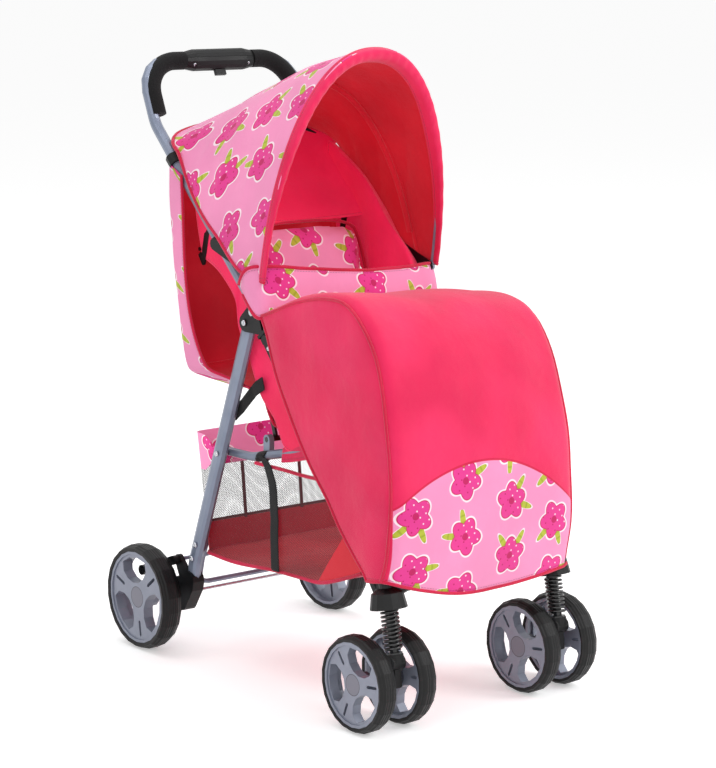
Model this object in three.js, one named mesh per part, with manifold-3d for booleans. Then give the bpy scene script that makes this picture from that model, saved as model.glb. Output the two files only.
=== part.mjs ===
// A folding doll stroller with a hood, a foot cover and a basket. Millimetres, +Z up.
// The child looks along -Y. Left and right are as seen from the front, so left is at -X.
import * as THREE from "three";
import { mergeVertices } from "three/addons/utils/BufferGeometryUtils.js";
import Module from "manifold-3d";

const wasm = await Module();
wasm.setup();

// Driving dimensions: wheels
const wheelbase = 396;
const front_wheel_radius = 50.7;
const front_wheel_width = 21.4;
const rear_wheel_radius = 60;
const rear_wheel_width = 25;
const caster_half_track = 112.6;
const twin_half_spacing = 26.2;
const rear_half_track = 134.6;

// Driving dimensions: frame, with places in the side plane as a depth Y and a height Z
const tube_radius = 6.35;
const right_angle = 90;
const tube_plane = 104;
const hinge_depth = 16.3;
const hinge_height = 404.2;
const hub_depth = -185;
const hub_height = 150;
const handle_angle = 44.7;
const grip_angle = 67.6;
const handle_straight_length = 268;
const grip_length = 72.78;
const leg_half_depth = 9;
const leg_half_width = 5.5;
const leg_plane = 104.5;

// Driving dimensions: soft parts
const hood_half_width = 121.2;
const hood_rise = 244.9;
const cover_half_width = 124;
const cloth_thickness = 1.6;
const padded_cloth_thickness = 2.2;
const basket_half_width = 98.5;

// Clearances
const running_gap = 0.3;
const overrun = 2;

// Facets round a tube, a thin rod, a small pin, a moulded boss and a wheel, and steps round a bend
const tube_facets = 10;
const wire_facets = 6;
const pin_facets = 8;
const boss_facets = 12;
const wheel_facets = 22;
const bend_steps = 4;
const small_bend_steps = 3;

// Colours
const finish = (color, roughness, metalness = 0) =>
  new THREE.MeshStandardMaterial({ color, roughness, metalness });
const painted_steel = finish(0x8792a6, 0.42, 0.35);
const black_plastic = finish(0x17171a, 0.5);
const grey_plastic = finish(0x7f869a, 0.45);
const black_rubber = finish(0x121214, 0.7);
const black_foam = finish(0x141416, 0.95);
const black_steel = finish(0x1c1c1e, 0.35, 0.5);
const bright_steel = finish(0xb8bcc4, 0.3, 0.8);
const pink_cloth = finish(0xe8245f, 0.85);
const dark_cloth = finish(0xb0202c, 0.9);
const print_cloth = finish(0xf596bf, 0.85);

// Points, solids and profiles
const vec = (x, y, z) => new THREE.Vector3(x, y, z);
const side = (depth, height) => new THREE.Vector2(depth, height);
const placed = (x, point) => vec(x, point.x, point.y);
const moved = (from, direction, distance) => from.clone().addScaledVector(direction, distance);
const heading = (degrees) => side(Math.cos((degrees * Math.PI) / 180), Math.sin((degrees * Math.PI) / 180));
const mix = (from, to, share) => from + (to - from) * share;
const upright = vec(0, 1, 0);
const side_frame = new THREE.Matrix4().makeBasis(vec(0, 1, 0), vec(0, 0, 1), vec(1, 0, 0));

function solidOf(geometry) {
  const loose = geometry.index ? geometry.toNonIndexed() : geometry;
  const bare = new THREE.BufferGeometry().setAttribute("position", loose.getAttribute("position"));
  const merged = mergeVertices(bare, 1e-4);
  const vertProperties = merged.attributes.position.array;
  return new wasm.Manifold(
    new wasm.Mesh({ numProp: 3, vertProperties, triVerts: new Uint32Array(merged.index.array) }),
  );
}

function geometryOf(solid) {
  const data = solid.getMesh();
  const points = new THREE.BufferAttribute(new Float32Array(data.vertProperties), 3);
  const geometry = new THREE.BufferGeometry().setAttribute("position", points);
  return geometry.setIndex(new THREE.BufferAttribute(new Uint32Array(data.triVerts), 1));
}

const join = (...pieces) => geometryOf(pieces.map(solidOf).reduce((all, next) => all.add(next)));
const cut = (piece, ...tools) =>
  geometryOf(tools.map(solidOf).reduce((rest, tool) => rest.subtract(tool), solidOf(piece)));

// A round bar between two points, which can taper.
function rod(from, to, radius, facets = pin_facets, tip_radius = radius) {
  const length = from.distanceTo(to);
  const shaft = new THREE.CylinderGeometry(tip_radius, radius, length, facets).translate(0, length / 2, 0);
  const turn = new THREE.Quaternion().setFromUnitVectors(upright, to.clone().sub(from).normalize());
  return shaft.applyQuaternion(turn).translate(from.x, from.y, from.z);
}

// A round bar or bore that runs across the stroller at a place in the side plane.
const crossRod = (point, x_from, x_to, radius, facets = pin_facets) =>
  rod(placed(x_from, point), placed(x_to, point), radius, facets);

// A profile of radius and distance pairs, turned round an axis through a point.
function turned(profile, origin, axis, facets) {
  const points = profile.map(([radius, distance]) => side(radius, distance));
  const turn = new THREE.Quaternion().setFromUnitVectors(upright, axis.clone().normalize());
  return new THREE.LatheGeometry(points, facets).applyQuaternion(turn).translate(
    origin.x,
    origin.y,
    origin.z,
  );
}

// The corners of the tightest outline round points in a plane.
function hullOf(points) {
  const sorted = [...points].sort((a, b) => a.x - b.x || a.y - b.y);
  const turnsRight = (a, b, c) => (b.x - a.x) * (c.y - a.y) - (b.y - a.y) * (c.x - a.x) <= 0;
  const chain = (list) => {
    const kept = [];
    for (const point of list) {
      while (kept.length > 1 && turnsRight(kept.at(-2), kept.at(-1), point)) kept.pop();
      kept.push(point);
    }
    return kept.slice(0, -1);
  };
  return [...chain(sorted), ...chain(sorted.reverse())];
}

const ringOf = (centre, radius, facets) =>
  Array.from({ length: facets }, (_, i) => moved(centre, heading((360 * i) / facets), radius));

// A flat link in the side plane whose outline wraps round discs given as a centre and a radius.
function link(discs, x_from, x_to, facets = boss_facets) {
  const outline = new THREE.Shape(
    hullOf(discs.flatMap(([centre, radius]) => ringOf(centre, radius, facets))),
  );
  return plate(outline, x_from, x_to);
}

function plate(outline, x_from, x_to) {
  const depth = x_to - x_from;
  const slab = new THREE.ExtrudeGeometry(outline, { depth, bevelEnabled: false });
  return slab.translate(0, 0, x_from).applyMatrix4(side_frame);
}

// A path with a ring of the section at each station, so that only its bends are divided.
class StationPath extends THREE.Curve {
  constructor(stations) {
    super();
    this.stations = stations;
  }
  blend(t, key) {
    const place = t * (this.stations.length - 1);
    const index = Math.min(Math.floor(place), this.stations.length - 2);
    const next = this.stations[index + 1][key];
    return this.stations[index][key].clone().lerp(next, place - index);
  }
  getPoint(t) {
    return this.blend(t, "point");
  }
  getPointAt(t) {
    return this.blend(t, "point");
  }
  getTangentAt(t) {
    return this.blend(t, "tangent").normalize();
  }
}

// A path through corners, each rounded by an arc of the radius given for it.
function bentPath(corners, bend_radii, steps = bend_steps) {
  const towards = (from, to) => to.clone().sub(from).normalize();
  const last = corners.length - 1;
  const stations = [{ point: corners[0], tangent: towards(corners[0], corners[1]) }];
  for (let i = 1; i < last; i++) {
    const before = towards(corners[i - 1], corners[i]);
    const after = towards(corners[i], corners[i + 1]);
    const angle = before.angleTo(after);
    const radius = bend_radii[i - 1];
    const setback = radius * Math.tan(angle / 2);
    const inward = after.clone().sub(before).normalize();
    const centre = moved(corners[i], inward, Math.hypot(radius, setback));
    const start = moved(corners[i], before, -setback).sub(centre);
    const normal = before.clone().cross(after).normalize();
    for (let step = 0; step <= steps; step++) {
      const turn = new THREE.Quaternion().setFromAxisAngle(normal, (angle * step) / steps);
      const point = start.clone().applyQuaternion(turn).add(centre);
      stations.push({ point, tangent: before.clone().applyQuaternion(turn) });
    }
  }
  stations.push({ point: corners[last], tangent: towards(corners[last - 1], corners[last]) });
  return new StationPath(stations);
}

// A path through points of a curve given by a formula.
function curvedPath(pointAt, steps) {
  const points = Array.from({ length: steps + 1 }, (_, i) => pointAt(i / steps));
  const tangent = (i) => points[Math.min(i + 1, steps)].clone().sub(points[Math.max(i - 1, 0)]).normalize();
  return new StationPath(points.map((point, i) => ({ point, tangent: tangent(i) })));
}

const roundSection = (radius, facets) => ringOf(side(0, 0), radius, facets);

function sweep(section, path, hollow) {
  const shape = new THREE.Shape(section);
  if (hollow) shape.holes.push(new THREE.Path(hollow));
  return new THREE.ExtrudeGeometry(shape, { steps: path.stations.length - 1, extrudePath: path });
}

const tube = (path, radius, facets = tube_facets) => sweep(roundSection(radius, facets), path);

// Triangles between rows of equally many points, with the sides turned to face out.
function closedSurface(vertices, triangles) {
  const volume = triangles.reduce((sum, [a, b, c]) => {
    return sum + vertices[a].dot(vertices[b].clone().cross(vertices[c]));
  }, 0);
  const facing_out = triangles.flatMap(([a, b, c]) => (volume < 0 ? [a, c, b] : [a, b, c]));
  const geometry = new THREE.BufferGeometry().setFromPoints(vertices);
  return geometry.setIndex(facing_out);
}

// A sheet of cloth as a closed solid: a grid of points, and the same grid moved inwards by the thickness.
function clothSheet(rows, columns, pointAt, thickness, inside) {
  const grid = [];
  for (let i = 0; i <= rows; i++) {
    for (let j = 0; j <= columns; j++) grid.push(pointAt(i / rows, j / columns));
  }
  const at = (i, j) => Math.min(Math.max(i, 0), rows) * (columns + 1) + Math.min(Math.max(j, 0), columns);
  const normals = grid.map((_, k) => {
    const i = Math.floor(k / (columns + 1));
    const j = k % (columns + 1);
    const down = grid[at(i + 1, j)].clone().sub(grid[at(i - 1, j)]);
    const along = grid[at(i, j + 1)].clone().sub(grid[at(i, j - 1)]);
    return down.cross(along).normalize();
  });
  const outward = normals.reduce(
    (sum, normal, k) => sum + normal.dot(grid[k].clone().sub(inside)),
    0,
  ) < 0 ? -1 : 1;
  const inner = grid.map((point, k) => moved(point, normals[k], -outward * thickness));
  const back = grid.length;
  const triangles = [];
  const quad = (a, b, c, d) => triangles.push([a, b, c], [a, c, d]);
  for (let i = 0; i < rows; i++) {
    for (let j = 0; j < columns; j++) {
      quad(at(i, j), at(i, j + 1), at(i + 1, j + 1), at(i + 1, j));
      quad(back + at(i, j), back + at(i + 1, j), back + at(i + 1, j + 1), back + at(i, j + 1));
    }
    quad(at(i, 0), at(i + 1, 0), back + at(i + 1, 0), back + at(i, 0));
    quad(at(i + 1, columns), at(i, columns), back + at(i, columns), back + at(i + 1, columns));
  }
  for (let j = 0; j < columns; j++) {
    quad(at(0, j + 1), at(0, j), back + at(0, j), back + at(0, j + 1));
    quad(at(rows, j), at(rows, j + 1), back + at(rows, j + 1), back + at(rows, j));
  }
  return closedSurface([...grid, ...inner], triangles);
}

// A solid between closed rings of equally many points, with a flat fan over each end.
function loft(rings) {
  const count = rings[0].length;
  const centre = (ring) => ring.reduce((sum, point) => sum.add(point), vec(0, 0, 0)).divideScalar(count);
  const vertices = [...rings.flat(), centre(rings[0]), centre(rings[rings.length - 1])];
  const triangles = [];
  for (let i = 0; i < rings.length - 1; i++) {
    for (let j = 0; j < count; j++) {
      const next = (j + 1) % count;
      const [a, b, c, d] = [i * count + j, i * count + next, (i + 1) * count + next, (i + 1) * count + j];
      triangles.push([a, b, c], [a, c, d]);
    }
  }
  const top = (rings.length - 1) * count;
  for (let j = 0; j < count; j++) {
    const next = (j + 1) % count;
    triangles.push([next, j, vertices.length - 2], [top + j, top + next, vertices.length - 1]);
  }
  return closedSurface(vertices, triangles);
}

// A smooth curve through places in the side plane, which is read at a share of the way along it.
function curveThrough(points) {
  const curve = new THREE.CatmullRomCurve3(points.map((point) => placed(0, point)), false, "centripetal");
  return (share) => {
    const point = curve.getPoint(share);
    return side(point.y, point.z);
  };
}

// The scene graph
const stroller = new THREE.Group();
stroller.position.y = (front_wheel_radius - rear_wheel_radius) / 2;

function add(name, geometry, material) {
  const mesh = new THREE.Mesh(geometry, material);
  mesh.name = name;
  stroller.add(mesh);
  return mesh;
}

// A piece modelled on the right, with its mirror image on the left.
function addPair(name, geometry, material) {
  add(name + "_right", geometry, material);
  add(name + "_left", geometry, material).scale.x = -1;
}

// Side plane: hinge, hub, axles and the directions of the tubes
const hinge = side(hinge_depth, hinge_height);
const hub = side(hub_depth, hub_height);
const front_axle = side(-wheelbase / 2, front_wheel_radius);
const rear_axle = side(wheelbase / 2, rear_wheel_radius);
const front_tube_heading = hub.clone().sub(hinge).normalize();
const handle_heading = heading(handle_angle);
const grip_heading = heading(grip_angle);
const tube_inner = tube_plane - tube_radius;
const tube_outer = tube_plane + tube_radius;

// Front tubes, which run from the fold hinge down to the caster hubs
const front_tube_start = 21.5;
const hub_socket_depth = 26;
const front_tube_length = hinge.distanceTo(hub);
const front_tube_top = moved(hinge, front_tube_heading, front_tube_start);
const front_tube_end = moved(hinge, front_tube_heading, front_tube_length);
const lever_pivot_distance = 45.9;
const lever_pin_radius = 2;
const lever_pin_depth = 3;
const lever_pivot = moved(hinge, front_tube_heading, lever_pivot_distance);
const front_tube = rod(
  placed(tube_plane, front_tube_top),
  placed(tube_plane, front_tube_end),
  tube_radius,
  tube_facets,
);
const lever_hole = crossRod(
  lever_pivot,
  tube_outer - lever_pin_depth - running_gap,
  tube_outer + overrun,
  lever_pin_radius + running_gap,
);
addPair("front_tube", cut(front_tube, lever_hole), painted_steel);

// Fold hinge brackets: two leaf-shaped cheeks and a saddle that holds the front tube
const pivot_pin_radius = 2.5;
const leg_pivot_forward = 13.7;
const leg_pivot_drop = 13.1;
const inner_cheek_thickness = 2.2;
const outer_cheek_thickness = 2;
const cheek_hinge_radius = 9.2;
const cheek_leg_radius = 9.6;
const cheek_tip_radius = 6;
const saddle_start = 25.5;
const saddle_end = 36;
const saddle_half_height = 8.6;
const outer_bridge_length = 3.4;
const inner_cheek_outside = tube_inner - running_gap;
const inner_cheek_inside = inner_cheek_outside - inner_cheek_thickness;
const outer_cheek_inside = tube_outer + running_gap;
const outer_cheek_outside = outer_cheek_inside + outer_cheek_thickness;
const leg_pivot = side(hinge_depth + leg_pivot_forward, hinge_height - leg_pivot_drop);
const saddle_middle = moved(hinge, front_tube_heading, (saddle_start + saddle_end) / 2);
const bridge_middle = moved(hinge, front_tube_heading, saddle_start + outer_bridge_length / 2);

function blockOnTube(distance, length, half_height, x_from, x_to) {
  const across = side(-front_tube_heading.y, front_tube_heading.x);
  const corner = (ahead, aside) => moved(moved(hinge, front_tube_heading, distance + ahead), across, aside);
  const outline = new THREE.Shape([
    corner(0, -half_height),
    corner(length, -half_height),
    corner(length, half_height),
    corner(0, half_height),
  ]);
  return plate(outline, x_from, x_to);
}

const inner_cheek_discs = [
  [hinge, cheek_hinge_radius],
  [leg_pivot, cheek_leg_radius],
  [saddle_middle, cheek_tip_radius],
];
const outer_cheek_discs = [
  [hinge, cheek_hinge_radius],
  [leg_pivot, cheek_leg_radius],
  [bridge_middle, outer_bridge_length / 2],
];
const saddle_inside = inner_cheek_outside - inner_cheek_thickness / 2;
const saddle = blockOnTube(
  saddle_start,
  saddle_end - saddle_start,
  saddle_half_height,
  saddle_inside,
  tube_outer - running_gap / 2,
);
const bridge = blockOnTube(
  saddle_start,
  outer_bridge_length,
  saddle_half_height,
  saddle_inside,
  outer_cheek_outside,
);
const tube_bore = rod(
  placed(tube_plane, moved(hinge, front_tube_heading, saddle_start - overrun)),
  placed(tube_plane, moved(hinge, front_tube_heading, saddle_end + overrun)),
  tube_radius + running_gap,
  tube_facets,
);
const leg_rivet_head = 1;
const leg_rivet_head_radius = 4.2;
const bracket = cut(
  join(
    link(inner_cheek_discs, inner_cheek_inside, inner_cheek_outside),
    link(outer_cheek_discs, outer_cheek_inside, outer_cheek_outside),
    saddle,
    bridge,
    crossRod(leg_pivot, inner_cheek_inside, outer_cheek_outside, pivot_pin_radius),
    crossRod(
      leg_pivot,
      outer_cheek_outside - overrun,
      outer_cheek_outside + leg_rivet_head,
      leg_rivet_head_radius,
    ),
  ),
  tube_bore,
  crossRod(
    hinge,
    inner_cheek_inside - overrun,
    outer_cheek_outside + overrun,
    pivot_pin_radius + running_gap,
  ),
);
addPair("hinge_bracket", bracket, black_plastic);

// Pins that the handle turns on
const pin_head_radius = 4.4;
const pin_head_thickness = 1.3;
const handle_pin = join(
  crossRod(
    hinge,
    inner_cheek_inside - running_gap - overrun / 2,
    outer_cheek_outside + running_gap + overrun / 2,
    pivot_pin_radius,
  ),
  crossRod(
    hinge,
    inner_cheek_inside - running_gap - pin_head_thickness,
    inner_cheek_inside - running_gap,
    pin_head_radius,
  ),
  crossRod(
    hinge,
    outer_cheek_outside + running_gap,
    outer_cheek_outside + running_gap + pin_head_thickness,
    pin_head_radius,
  ),
);
addPair("handle_pivot_pin", handle_pin, bright_steel);

// Casters: the raked stem axis, its hub in the front crossbar, springs, forks and twin wheels
const stem_angle = 10.5;
const stem_forward = 29;
const stem_drop = 21.5;
const spring_length = 44.6;
const stem_radius = 5;
const suspension_travel = 8;
const drum_radius = 19.5;
const drum_waist_radius = 16.5;
const drum_top_radius = 7.6;
const drum_waist_height = 16;
const drum_shoulder_height = 21;
const drum_height = 42;
const stem_above_hub_mouth = 24;
const stem_down = vec(0, -Math.sin((stem_angle * Math.PI) / 180), -Math.cos((stem_angle * Math.PI) / 180));
const stem_up = stem_down.clone().negate();
const stem_top = vec(caster_half_track, hub_depth - stem_forward, hub_height - stem_drop);
const onStem = (distance) => moved(stem_top, stem_down, distance);

const drum_profile = [
  [0, 0],
  [drum_radius, 0],
  [drum_waist_radius, drum_waist_height],
  [drum_top_radius, drum_shoulder_height],
  [drum_top_radius, drum_height],
  [0, drum_height],
];
const drum_facets = 14;
const drum = turned(drum_profile, stem_top, stem_up, drum_facets);
const socket_radius = 9.4;
const socket_mouth_radius = 8.4;
const socket_mouth = moved(hinge, front_tube_heading, front_tube_length - hub_socket_depth);
const socket_foot = moved(hinge, front_tube_heading, front_tube_length + socket_radius);
const socket = rod(
  placed(tube_plane, socket_foot),
  placed(tube_plane, socket_mouth),
  socket_radius,
  tube_facets,
  socket_mouth_radius,
);
const socket_bore = rod(
  placed(tube_plane, moved(front_tube_end, front_tube_heading, running_gap)),
  placed(tube_plane, moved(socket_mouth, front_tube_heading, -overrun)),
  tube_radius + running_gap,
  tube_facets,
);
const stem_bore = rod(
  onStem(overrun),
  onStem(-stem_above_hub_mouth - suspension_travel - overrun),
  stem_radius + running_gap,
);

// A faceted bore that a faceted shaft can turn in, with its flats clear of the shaft's corners.
const swivelRadius = (radius, facets) => (radius + running_gap) / Math.cos(Math.PI / facets);

// The crossbar is one arched moulding whose underside sweeps down into each hub.
const crossbar_forward = 18.5;
const crossbar_half_thickness = 9.5;
const crossbar_rise = 10;
const crossbar_drop = 9;
const crossbar_depth = hub_depth - crossbar_forward;
const crossbar_top = hub_height + crossbar_rise;
const crossbar_bottom = hub_height - crossbar_drop;
const hub_fillet_height = 9;
const hub_fillet_length = 22;
const crossbar_rings = [];
const crossbar_stations = 8;
for (let i = 0; i <= crossbar_stations; i++) {
  const x = mix(-caster_half_track, caster_half_track, i / crossbar_stations);
  const from_hub = caster_half_track - Math.abs(x);
  const fillet = hub_fillet_height * Math.max(0, 1 - from_hub / hub_fillet_length) ** 2;
  const low = crossbar_bottom - fillet;
  const soft_edge = crossbar_half_thickness / 3;
  crossbar_rings.push([
    vec(x, crossbar_depth - crossbar_half_thickness, low + soft_edge),
    vec(x, crossbar_depth - crossbar_half_thickness + soft_edge, low),
    vec(x, crossbar_depth + crossbar_half_thickness - soft_edge, low),
    vec(x, crossbar_depth + crossbar_half_thickness, low + soft_edge),
    vec(x, crossbar_depth + crossbar_half_thickness, crossbar_top - soft_edge),
    vec(x, crossbar_depth + crossbar_half_thickness - soft_edge, crossbar_top),
    vec(x, crossbar_depth - crossbar_half_thickness + soft_edge, crossbar_top),
    vec(x, crossbar_depth - crossbar_half_thickness, crossbar_top - soft_edge),
  ]);
}
const mirrored = (geometry) => geometryOf(solidOf(geometry).mirror([1, 0, 0]));
const hub_shapes = [drum, socket];
const crossbar_solid = join(loft(crossbar_rings), ...hub_shapes, ...hub_shapes.map(mirrored));
const hub_bores = [socket_bore, stem_bore];
add("front_crossbar", cut(crossbar_solid, ...hub_bores, ...hub_bores.map(mirrored)), black_plastic);

// Suspension stems: a rod that slides in the hub, with the flange under the spring
const flange_radius = 9;
const flange_thickness = 1.6;
const stem_below_flange = 11;
const flange_start = spring_length + running_gap;
const flange_end = flange_start + flange_thickness;
const caster_stem = join(
  rod(onStem(-stem_above_hub_mouth), onStem(flange_end + stem_below_flange), stem_radius),
  rod(onStem(flange_start), onStem(flange_end), flange_radius, boss_facets),
);
addPair("caster_stem", caster_stem, black_steel);

// Springs: one unbroken coiled wire each, with eight steps to a curl and a five-sided section
const spring_curls = 10;
const steps_per_curl = 8;
const wire_sides = 5;
const wire_radius = 1.35;
const coil_radius = 8.5;
const spring_start = running_gap + wire_radius;
const spring_rise = spring_length - spring_start - wire_radius - running_gap / 2;

function coilPoint(step) {
  const angle = (2 * Math.PI * step) / steps_per_curl;
  const rise = (spring_rise * step) / (spring_curls * steps_per_curl);
  return vec(coil_radius * Math.cos(angle), spring_start + rise, coil_radius * Math.sin(angle));
}

function springGeometry() {
  const steps = spring_curls * steps_per_curl;
  const vertices = [];
  const triangles = [];
  for (let step = 0; step <= steps; step++) {
    const centre = coilPoint(step);
    const outward = vec(centre.x, 0, centre.z).normalize();
    for (let k = 0; k < wire_sides; k++) {
      const angle = (2 * Math.PI * k) / wire_sides;
      const point = moved(centre, outward, wire_radius * Math.cos(angle));
      vertices.push(moved(point, upright, wire_radius * Math.sin(angle)));
    }
  }
  const at = (step, k) => step * wire_sides + (k % wire_sides);
  for (let step = 0; step < steps; step++) {
    for (let k = 0; k < wire_sides; k++) {
      triangles.push([at(step, k), at(step, k + 1), at(step + 1, k + 1)]);
      triangles.push([at(step, k), at(step + 1, k + 1), at(step + 1, k)]);
    }
  }
  for (let k = 1; k < wire_sides - 1; k++) {
    triangles.push([at(0, 0), at(0, k + 1), at(0, k)]);
    triangles.push([at(steps, 0), at(steps, k), at(steps, k + 1)]);
  }
  const turn = new THREE.Quaternion().setFromUnitVectors(upright, stem_down);
  return closedSurface(vertices, triangles).applyQuaternion(turn).translate(
    stem_top.x,
    stem_top.y,
    stem_top.z,
  );
}

// The least gap of the wire to itself, between points that are half a curl or more apart.
function leastSelfGap() {
  let least = Infinity;
  const steps = spring_curls * steps_per_curl;
  for (let a = 0; a <= steps; a++) {
    for (let b = a + steps_per_curl / 2; b <= steps; b++) {
      least = Math.min(least, coilPoint(a).distanceTo(coilPoint(b)) - 2 * wire_radius);
    }
  }
  return least;
}
console.log("spring wire's least gap to itself: " + leastSelfGap().toFixed(2) + " mm");
addPair("suspension_spring", springGeometry(), black_steel);

// Caster forks: a collar round the stem, a stepped block, the axle boss and a pointed tab in front
const fork_collar_radius = 9.5;
const fork_collar_length = 8.5;
const fork_half_width = 8;
const fork_block_radius = 8;
const axle_boss_radius = 6.4;
const fork_tab_half_width = 4;
const fork_tab_radius = 2.2;
const fork_tab_drop = 24;
const fork_tab_forward = 4;
const axle_radius = 3;
const fork_top = flange_end + running_gap;
const fork_block_top = onStem(fork_top + fork_collar_length);
const block_centre = side(fork_block_top.y, fork_block_top.z);
const tab_root = moved(block_centre, side(0, -1), fork_tab_radius);
const tab_tip = side(block_centre.x - fork_tab_forward, block_centre.y - fork_tab_drop);
const twin_inner = twin_half_spacing - front_wheel_width / 2;
const fork = cut(
  join(
    rod(onStem(fork_top), onStem(fork_top + fork_collar_length), fork_collar_radius, boss_facets),
    link(
      [[block_centre, fork_block_radius], [front_axle, axle_boss_radius]],
      caster_half_track - fork_half_width,
      caster_half_track + fork_half_width,
    ),
    link(
      [[tab_root, fork_block_radius / 2], [tab_tip, fork_tab_radius]],
      caster_half_track - fork_tab_half_width,
      caster_half_track + fork_tab_half_width,
      pin_facets,
    ),
    crossRod(
      front_axle,
      caster_half_track - twin_inner + running_gap,
      caster_half_track + twin_inner - running_gap,
      axle_boss_radius,
      boss_facets,
    ),
  ),
  rod(
    onStem(fork_top - overrun),
    onStem(flange_end + stem_below_flange + running_gap),
    swivelRadius(stem_radius, pin_facets),
  ),
  crossRod(
    front_axle,
    caster_half_track - twin_inner,
    caster_half_track + twin_inner,
    axle_radius + running_gap,
  ),
);
addPair("caster_fork", fork, black_plastic);

const cap_wall = 2.5;
const axle_end_inset = 10.5;
const front_axle_half_length = twin_half_spacing + front_wheel_width / 2 - axle_end_inset;
const front_axle_bar = crossRod(
  front_axle,
  caster_half_track - front_axle_half_length,
  caster_half_track + front_axle_half_length,
  axle_radius,
);
addPair("front_axle", front_axle_bar, bright_steel);

// Wheel rims: a barrel, a web with three kidney openings and three slots, and a capped hub
const rim_share = 0.875;
const rim_wall = 3.2;
const rim_inset = 1.2;
const web_recess = 1.6;
const web_depth_share = 0.5;
const hub_cap_share = 0.25;
const spokes = 3;
const kidney_centre_share = 0.8;
const kidney_radius_share = 0.5;
const kidney_reach_share = 0.87;
const slot_start_share = 0.54;
const slot_end_share = 0.84;
const slot_half_width_share = 0.036;
const slot_end_facets = 4;

function kidneyHole(rim_radius, direction) {
  const reach = rim_radius * kidney_reach_share;
  const centre_radius = rim_radius * kidney_centre_share;
  const radius = rim_radius * kidney_radius_share;
  const spread = Math.acos((reach ** 2 + centre_radius ** 2 - radius ** 2) / (2 * reach * centre_radius));
  const corner = side(reach * Math.cos(spread), reach * Math.sin(spread));
  const inner_angle = Math.atan2(corner.y, corner.x - centre_radius);
  const outer_trim_share = 0.84;
  const inner_trim = 0.35;
  const points = [];
  const outer_steps = 3;
  const inner_steps = 5;
  for (let i = 0; i <= outer_steps; i++) {
    const angle = mix(-spread, spread, i / outer_steps) * outer_trim_share;
    points.push(side(reach * Math.cos(angle), reach * Math.sin(angle)));
  }
  for (let i = 0; i <= inner_steps; i++) {
    const angle = mix(inner_angle + inner_trim, 2 * Math.PI - inner_angle - inner_trim, i / inner_steps);
    points.push(side(centre_radius + radius * Math.cos(angle), radius * Math.sin(angle)));
  }
  return new THREE.Path(points.map((point) => point.rotateAround(side(0, 0), direction)));
}

function slotHole(rim_radius, direction) {
  const half_width = rim_radius * slot_half_width_share;
  const ends = [side(rim_radius * slot_start_share, 0), side(rim_radius * slot_end_share, 0)];
  const outline = hullOf(ends.flatMap((end) => ringOf(end, half_width, slot_end_facets)));
  return new THREE.Path(outline.map((point) => point.rotateAround(side(0, 0), direction)));
}

function rimGeometry(wheel_radius, wheel_width, spoke_turn) {
  const rim_radius = wheel_radius * rim_share;
  const inside = rim_radius - rim_wall;
  const half = wheel_width / 2 - rim_inset;
  const barrel_profile = [
    [inside, -half],
    [rim_radius, -half],
    [rim_radius, half],
    [inside, half],
    [inside, -half],
  ];
  const barrel = turned(barrel_profile, vec(0, 0, 0), vec(1, 0, 0), wheel_facets);
  const face = new THREE.Shape(ringOf(side(0, 0), rim_radius - rim_wall / 2, wheel_facets));
  for (let i = 0; i < spokes; i++) {
    const spoke = spoke_turn + (2 * Math.PI * i) / spokes;
    face.holes.push(kidneyHole(rim_radius, spoke + Math.PI / spokes));
    face.holes.push(slotHole(rim_radius, spoke));
  }
  const face_plane = half - web_recess;
  const web = plate(face, face_plane - wheel_width * web_depth_share, face_plane);
  const cap_radius = rim_radius * hub_cap_share;
  const cap_plane = face_plane - rim_inset / 2;
  const boss = crossRod(side(0, 0), -wheel_width / 2, cap_plane, cap_radius, boss_facets);
  const bore = crossRod(
    side(0, 0),
    -wheel_width / 2 - overrun,
    cap_plane - cap_wall,
    axle_radius + running_gap,
  );
  return { rim: cut(join(barrel, web, boss), bore), cap_plane };
}

// Tyres: a closed profile with rounded shoulders
const shoulder = 3.2;
const tread_share = 0.22;

function tyreGeometry(wheel_radius, wheel_width) {
  const inside = wheel_radius * rim_share + running_gap;
  const half = wheel_width / 2;
  const right_half = [
    [wheel_radius, wheel_width * tread_share],
    [wheel_radius - shoulder, half],
    [inside, half - rim_inset / 2],
  ];
  const left_half = right_half.map(([radius, distance]) => [radius, -distance]).reverse();
  const profile = [...left_half, ...right_half, left_half[0]];
  return turned(profile, vec(0, 0, 0), vec(1, 0, 0), wheel_facets);
}

// A wheel's rim and tyre share one place, and a wheel that faces left is turned round.
function addWheel(name, x, axle, facing, rim, tyre) {
  for (const [kind, geometry, material] of [["rim", rim, grey_plastic], ["tyre", tyre, black_rubber]]) {
    const mesh = add(name + "_" + kind, geometry, material);
    mesh.position.set(x, axle.x, axle.y);
    mesh.scale.x = facing;
  }
}

const front_spoke_angle = 0.91;
const rear_spoke_angle = 0.38;
const front_wheel = rimGeometry(front_wheel_radius, front_wheel_width, front_spoke_angle);
const rear_wheel = rimGeometry(rear_wheel_radius, rear_wheel_width, rear_spoke_angle);
const front_tyre = tyreGeometry(front_wheel_radius, front_wheel_width);
const rear_tyre = tyreGeometry(rear_wheel_radius, rear_wheel_width);
for (const [name, hand] of [["left", -1], ["right", 1]]) {
  const outer = hand * (caster_half_track + twin_half_spacing);
  const inner = hand * (caster_half_track - twin_half_spacing);
  addWheel("front_wheel_" + name + "_outer", outer, front_axle, hand, front_wheel.rim, front_tyre);
  addWheel("front_wheel_" + name + "_inner", inner, front_axle, -hand, front_wheel.rim, front_tyre);
  addWheel("rear_wheel_" + name, hand * rear_half_track, rear_axle, hand, rear_wheel.rim, rear_tyre);
}

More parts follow.
